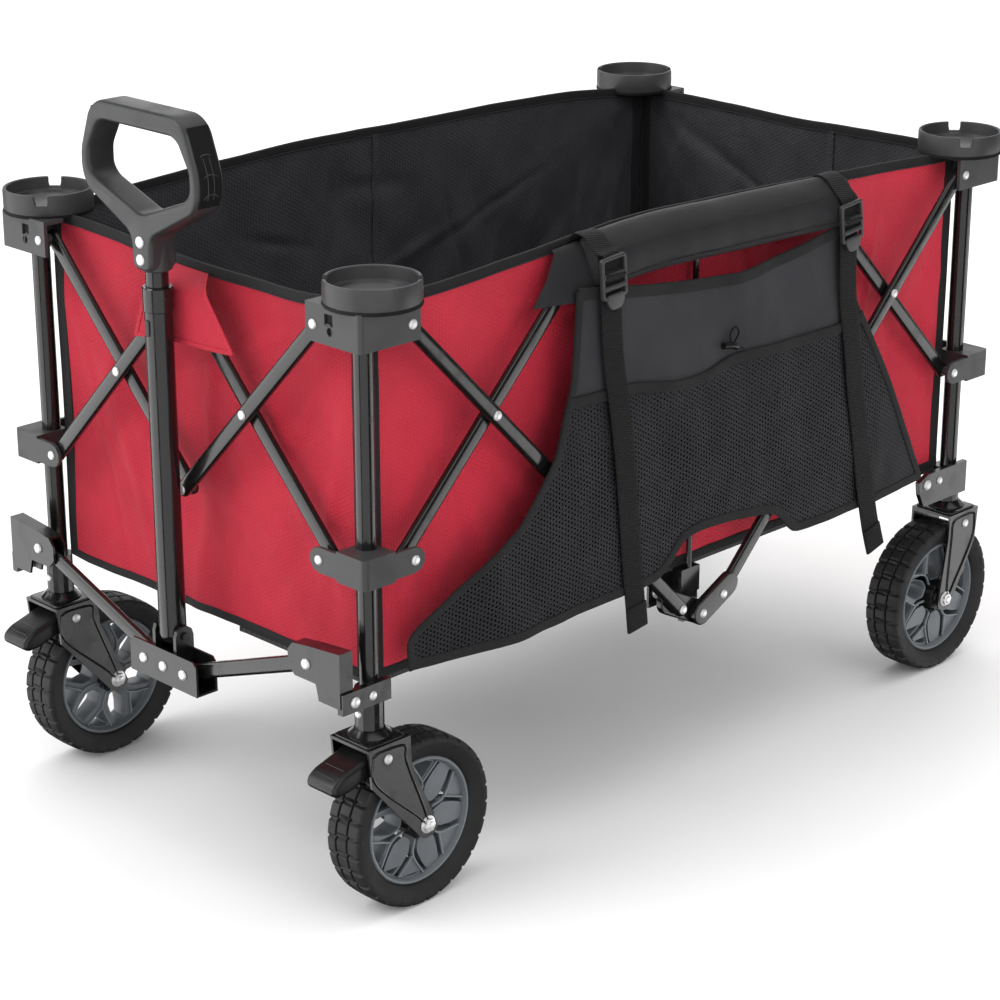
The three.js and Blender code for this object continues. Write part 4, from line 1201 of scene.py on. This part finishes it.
def make_panel_rivets():
    """Rivets where the bars cross and meet, riding on the outer bar of each pair."""
    for name, sign in (("front", -1), ("rear", 1)):
        y, out = sign * (HALF_L + 22), (0, sign, 0)
        add_rivets(f"{name}_short_l", f"{name}_rivets_l", [
            ((CROSS_IN - ACROSS, y, CROSS_Z), out), ((0, y, END_HIGH_Z), out, RIVET_R, 1.6),
        ])
        add_rivets(f"{name}_long_r", f"{name}_rivets_r", [
            ((ACROSS - CROSS_IN, y, CROSS_Z), out), ((0, y, END_LOW_Z), out),
        ])
    for name, sign in (("left", -1), ("right", 1)):
        x, out = sign * (HALF_W + 22), (sign, 0, 0)
        for tag, end in (("f", -1), ("r", 1)):
            crossing, stop = (x, end * (DOWN - CROSS_IN), CROSS_Z), (x, end * SIDE_STOP_IN, SIDE_STOP_Z)
            spots = [(crossing, out), (stop, out)]
            if end > 0:
                spots.append(((x, 0, SIDE_HUB_Z), out))
            add_rivets(f"{name}_long_{tag}", f"{name}_rivets_{tag}", spots)
        hub_bolt = ((sign * (HALF_W - 14), -33, 211), out, 6.5, 3.2)
        add_rivets(f"side_post_{name[0]}", f"side_post_bolt_{name[0]}", [hub_bolt])
    bolts = [((x, -500, YOKE_Z), (0, -1, 0), 5.5, 2.6) for x in (-YOKE_PIVOT, 0, YOKE_PIVOT)]
    add_rivets("handle_yoke", "yoke_rivets", bolts)


# ---------------------------------------------------------------- bars

def bar_mesh(side, sign, layer, start, end, thick=BAR_THICK):
    """Flat-oval tube between two pivots of an end or side panel, its ends pressed round."""
    start, end = np.array(start, float), np.array(end, float)
    length = np.linalg.norm(end - start)
    way = (end - start) / length
    aside = np.array((-way[1], way[0]))
    half = BAR_WIDTH / 2
    turns = np.linspace(0.06, math.pi / 2, 8)
    stations = [(-half * math.cos(a), math.sin(a)) for a in turns]
    stations += [(length + half * math.cos(a), math.sin(a)) for a in turns[::-1]]
    rings = []
    for reach, share in stations:
        ring = []
        for a, b in section(BAR_WIDTH * share, thick * (0.5 + 0.5 * share), 24, 0.62):
            along, z = start + way * reach + aside * a
            out = sign * ((HALF_L if side == "end" else HALF_W) + (layer + b))
            ring.append((along, out, z) if side == "end" else (out, along, z))
        rings.append(ring)
    return loft_mesh(rings)


def capsule(start, end, radius, steps=12):
    """Outline of a flat bar with round ends."""
    (ax, ay), (bx, by) = start, end
    lean = math.atan2(by - ay, bx - ax)
    ring = []
    for (x, y), first in (((bx, by), lean - math.pi / 2), ((ax, ay), lean + math.pi / 2)):
        ring += [(x + radius * math.cos(first + a), y + radius * math.sin(first + a))
                 for a in np.linspace(0, math.pi, steps)]
    return ring


def place_bar(node, *meshes):
    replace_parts(place_mesh(f"tube_{node}", merge(meshes), "bar", node, 50), node)


def make_bars():
    """Long and short bars of the four scissor panels, and the two lower front links."""
    layers = (INNER_LAYER, OUTER_LAYER)
    for name, sign in (("front", -1), ("rear", 1)):
        for tag, x, (long_layer, short_layer) in (("l", -ACROSS, layers), ("r", ACROSS, layers[::-1])):
            long_bar = bar_mesh("end", sign, long_layer, (x, TOP_PIVOT_Z), (0, END_LOW_Z))
            place_bar(f"{name}_long_{tag}", long_bar)
            short_bar = bar_mesh("end", sign, short_layer, (x, MID_PIVOT_Z), (0, END_HIGH_Z))
            place_bar(f"{name}_short_{tag}", short_bar)
    for name, sign in (("left", -1), ("right", 1)):
        def strap(start, end, radius, inner, outer, bevel):
            faces = sorted(sign * (HALF_W + edge) for edge in (inner, outer))
            return slab_mesh(capsule(start, end, radius), [], "x", *faces, bevel)

        for tag, end, hub_layer in (("f", -1, INNER_LAYER), ("r", 1, OUTER_LAYER)):
            stop = (end * SIDE_STOP_IN, SIDE_STOP_Z)
            hub = ((end * 42, SIDE_STOP_Z + 8), (0, SIDE_HUB_Z), 13, hub_layer - 4, hub_layer + 4, 1.5)
            meshes = [bar_mesh("side", sign, OUTER_LAYER, (end * DOWN, TOP_PIVOT_Z), stop), strap(*hub)]
            if end < 0:
                joggle = ((-42, SIDE_STOP_Z + 10), (-34, SIDE_STOP_Z + 2), 7, INNER_LAYER, OUTER_LAYER, 0.5)
                meshes.append(strap(*joggle))
            top = (end * SHORT_TOP_IN, SHORT_TOP_Z)
            short_bar = bar_mesh("side", sign, INNER_LAYER, (end * DOWN, MID_PIVOT_Z), top)
            place_bar(f"{name}_long_{tag}", *meshes)
            place_bar(f"{name}_short_{tag}", short_bar)
    for tag, hand in (("l", -1), ("r", 1)):
        top, foot = (hand * (HALF_W - LINK_TOP_IN), LINK_TOP_Z), (hand * YOKE_PIVOT, YOKE_Z)
        place_bar(f"front_link_{tag}", bar_mesh("end", -1, LINK_LAYER, top, foot, LINK_THICK))


# ---------------------------------------------------------------- handle

TUBE_R = 13.5
LOCK_Z = 304
SLIDER_R = 11
GRIP_FRONT = -504
WELL_SIDE = [(83.0, 673), (87.55, 685), (87.55, 702), (80.6, 721.5), (71.2, 745.5)]
WELL_CROSS = ((-8.5, -3), (-3.4, 0), (3.4, 0), (8.5, -3))


def make_handle():
    """Outer tube with its collar and latch button, and the inner tube that slides in it."""
    centre = (0, HANDLE_Y, 0)
    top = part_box("handle_tube")[1].z / MM
    pipe = [(11.4, LOCK_Z), (TUBE_R, LOCK_Z), (TUBE_R, top - 24), (14.7, top - 23), (14.7, top - 1),
            (13.9, top), (11.4, top), (11.4, LOCK_Z)]
    low = [(0, 219.5), (8, 221.5), (12.2, 226), (TUBE_R, 232), (TUBE_R, LOCK_Z + 0.2), (0, LOCK_Z + 0.2)]
    tube = merge([turn_mesh(pipe, "z", centre), turn_mesh(low, "z", centre)])
    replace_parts(place_mesh("handle_outer_tube", tube, "post", "handle_outer"), "handle_tube")
    slot = rounded([(-3.2, 536), (3.2, 536), (3.2, 552), (-3.2, 552)], 2.5)
    button = slab_mesh(slot, [], "y", HANDLE_Y - 14.6, HANDLE_Y - 12.5, 0.6)
    place_mesh("handle_latch", button, "black", "handle_outer")
    low_z, high_z = (p.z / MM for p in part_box("handle_slider"))
    rod = [(0, low_z), (SLIDER_R - 1, low_z), (SLIDER_R, low_z + 1), (SLIDER_R, high_z), (0, high_z)]
    inner = place_mesh("handle_inner_tube", turn_mesh(rod, "z", centre), "post", "handle_inner")
    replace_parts(inner, "handle_slider")


def mirrored(pairs):
    return pairs + [(-x, z) for x, z in reversed(pairs)]


def make_grip():
    """Hexagonal loop grip: rounded hand bar, tapered arms with wells outside, neck with two rivets. The wells
    are near-black strips of painted shade under their ribs.
    """
    back = (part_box("handle_grip")[1].y - MID_Y) / MM
    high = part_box("handle_grip")[1].z / MM
    half = [(13.5, 600), (15.5, 634), (80, 667), (87.3, 683), (87.3, 703), (72, 744), (57, high)]
    hole = [(5, 655), (67, 677.5), (75, 686), (75, 704.5), (60, 730.5), (51, 735)]
    outline, window = rounded(mirrored(half), 9, 5), rounded(mirrored(hole), 6, 5)
    neck = [(0, 600), (13, 598.5), (15.2, 600), (15.2, 640), (0, 640)]
    loop = merge([slab_mesh(outline, [window], "y", GRIP_FRONT, back, 4.6),
                  turn_mesh(neck, "z", (0, HANDLE_Y, 0), 40)])
    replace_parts(place_mesh("grip_loop", loop, "grip", "handle_inner", 30), "handle_grip")
    middle = (GRIP_FRONT + back) / 2
    for tag, side in (("l", -1), ("r", 1)):
        edge = smooth_path([(side * x, middle, z) for x, z in WELL_SIDE], 30)
        # near-black strip standing for the shade inside the arm's hollow: painted shade
        well = sweep_mesh(edge, (0, 1, 0), section(24.5, 0.9, 14, 0.3))
        place_mesh(f"grip_well_shade_{tag}", well, "dark", "handle_inner")
        ribs = []
        for offset in (-3.4, 3.4):
            line = edge[3:19] + np.array((side * 0.5, offset, 0))
            ribs.append(sweep_mesh(line, (0, 1, 0), circle(0.55, 6)))
        for k in (5, 12, 19):
            cross = [edge[k] + np.array((side * 0.5, y, z)) for y, z in WELL_CROSS]
            ribs.append(sweep_mesh(smooth_path(cross, 12), (0, 0, 1), circle(0.55, 6)))
        place_mesh(f"grip_ribs_{tag}", merge(ribs), "grip", "handle_inner")
    spots = [((0, GRIP_FRONT, z), (0, -1, 0), 5.8, 2.2) for z in (611, 628)]
    add_rivets("handle_inner", "grip_rivets", spots)


# ---------------------------------------------------------------- the frame's own nodes

NODE_FINISH = {
    "cap_": "cap", "clamp_": "cap", "foot_": "bracket", "fork_": "bracket", "handle_yoke": "bracket",
    "side_post_": "bracket",
}
MOULDED_EDGE = 2.0
PRESSED_EDGE = 0.6


def finish_frame_nodes():
    """Finishes and softened edges for the nodes that stay as the frame has them."""
    for name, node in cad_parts.items():
        key = next((k for k in NODE_FINISH if name.startswith(k)), None)
        if node.hide_render or key is None:
            continue
        finish = NODE_FINISH[key]
        node.data.materials.clear()
        node.data.materials.append(M[finish])
        node.data.shade_smooth()
        node.data.set_sharp_from_angle(angle=math.radians(38))
        flat = node.modifiers.new("flats", "DECIMATE")
        flat.decimate_type = "DISSOLVE"
        flat.angle_limit = math.radians(0.5)
        bevel = node.modifiers.new("edges", "BEVEL")
        bevel.width = (MOULDED_EDGE if finish == "cap" else PRESSED_EDGE) * MM
        bevel.segments = 3
        bevel.limit_method = "ANGLE"
        bevel.angle_limit = math.radians(40)


make_camera()
make_stage()
M = make_materials()
make_walls()
make_floor()
make_front_flap()
make_pocket()
make_toggle()
make_sleeve()
make_gussets()
make_straps()
for corner_tag in CORNERS:
    make_wheel(corner_tag)
    make_fork_trim(corner_tag)
    if corner_tag in ("fl", "fr"):
        make_lever(corner_tag)
for corner_tag in CORNERS:
    make_post(corner_tag)
make_bars()
for corner_tag in CORNERS:
    make_cup(corner_tag)
make_corner_rivets()
make_panel_rivets()
make_handle()
make_grip()
finish_frame_nodes()
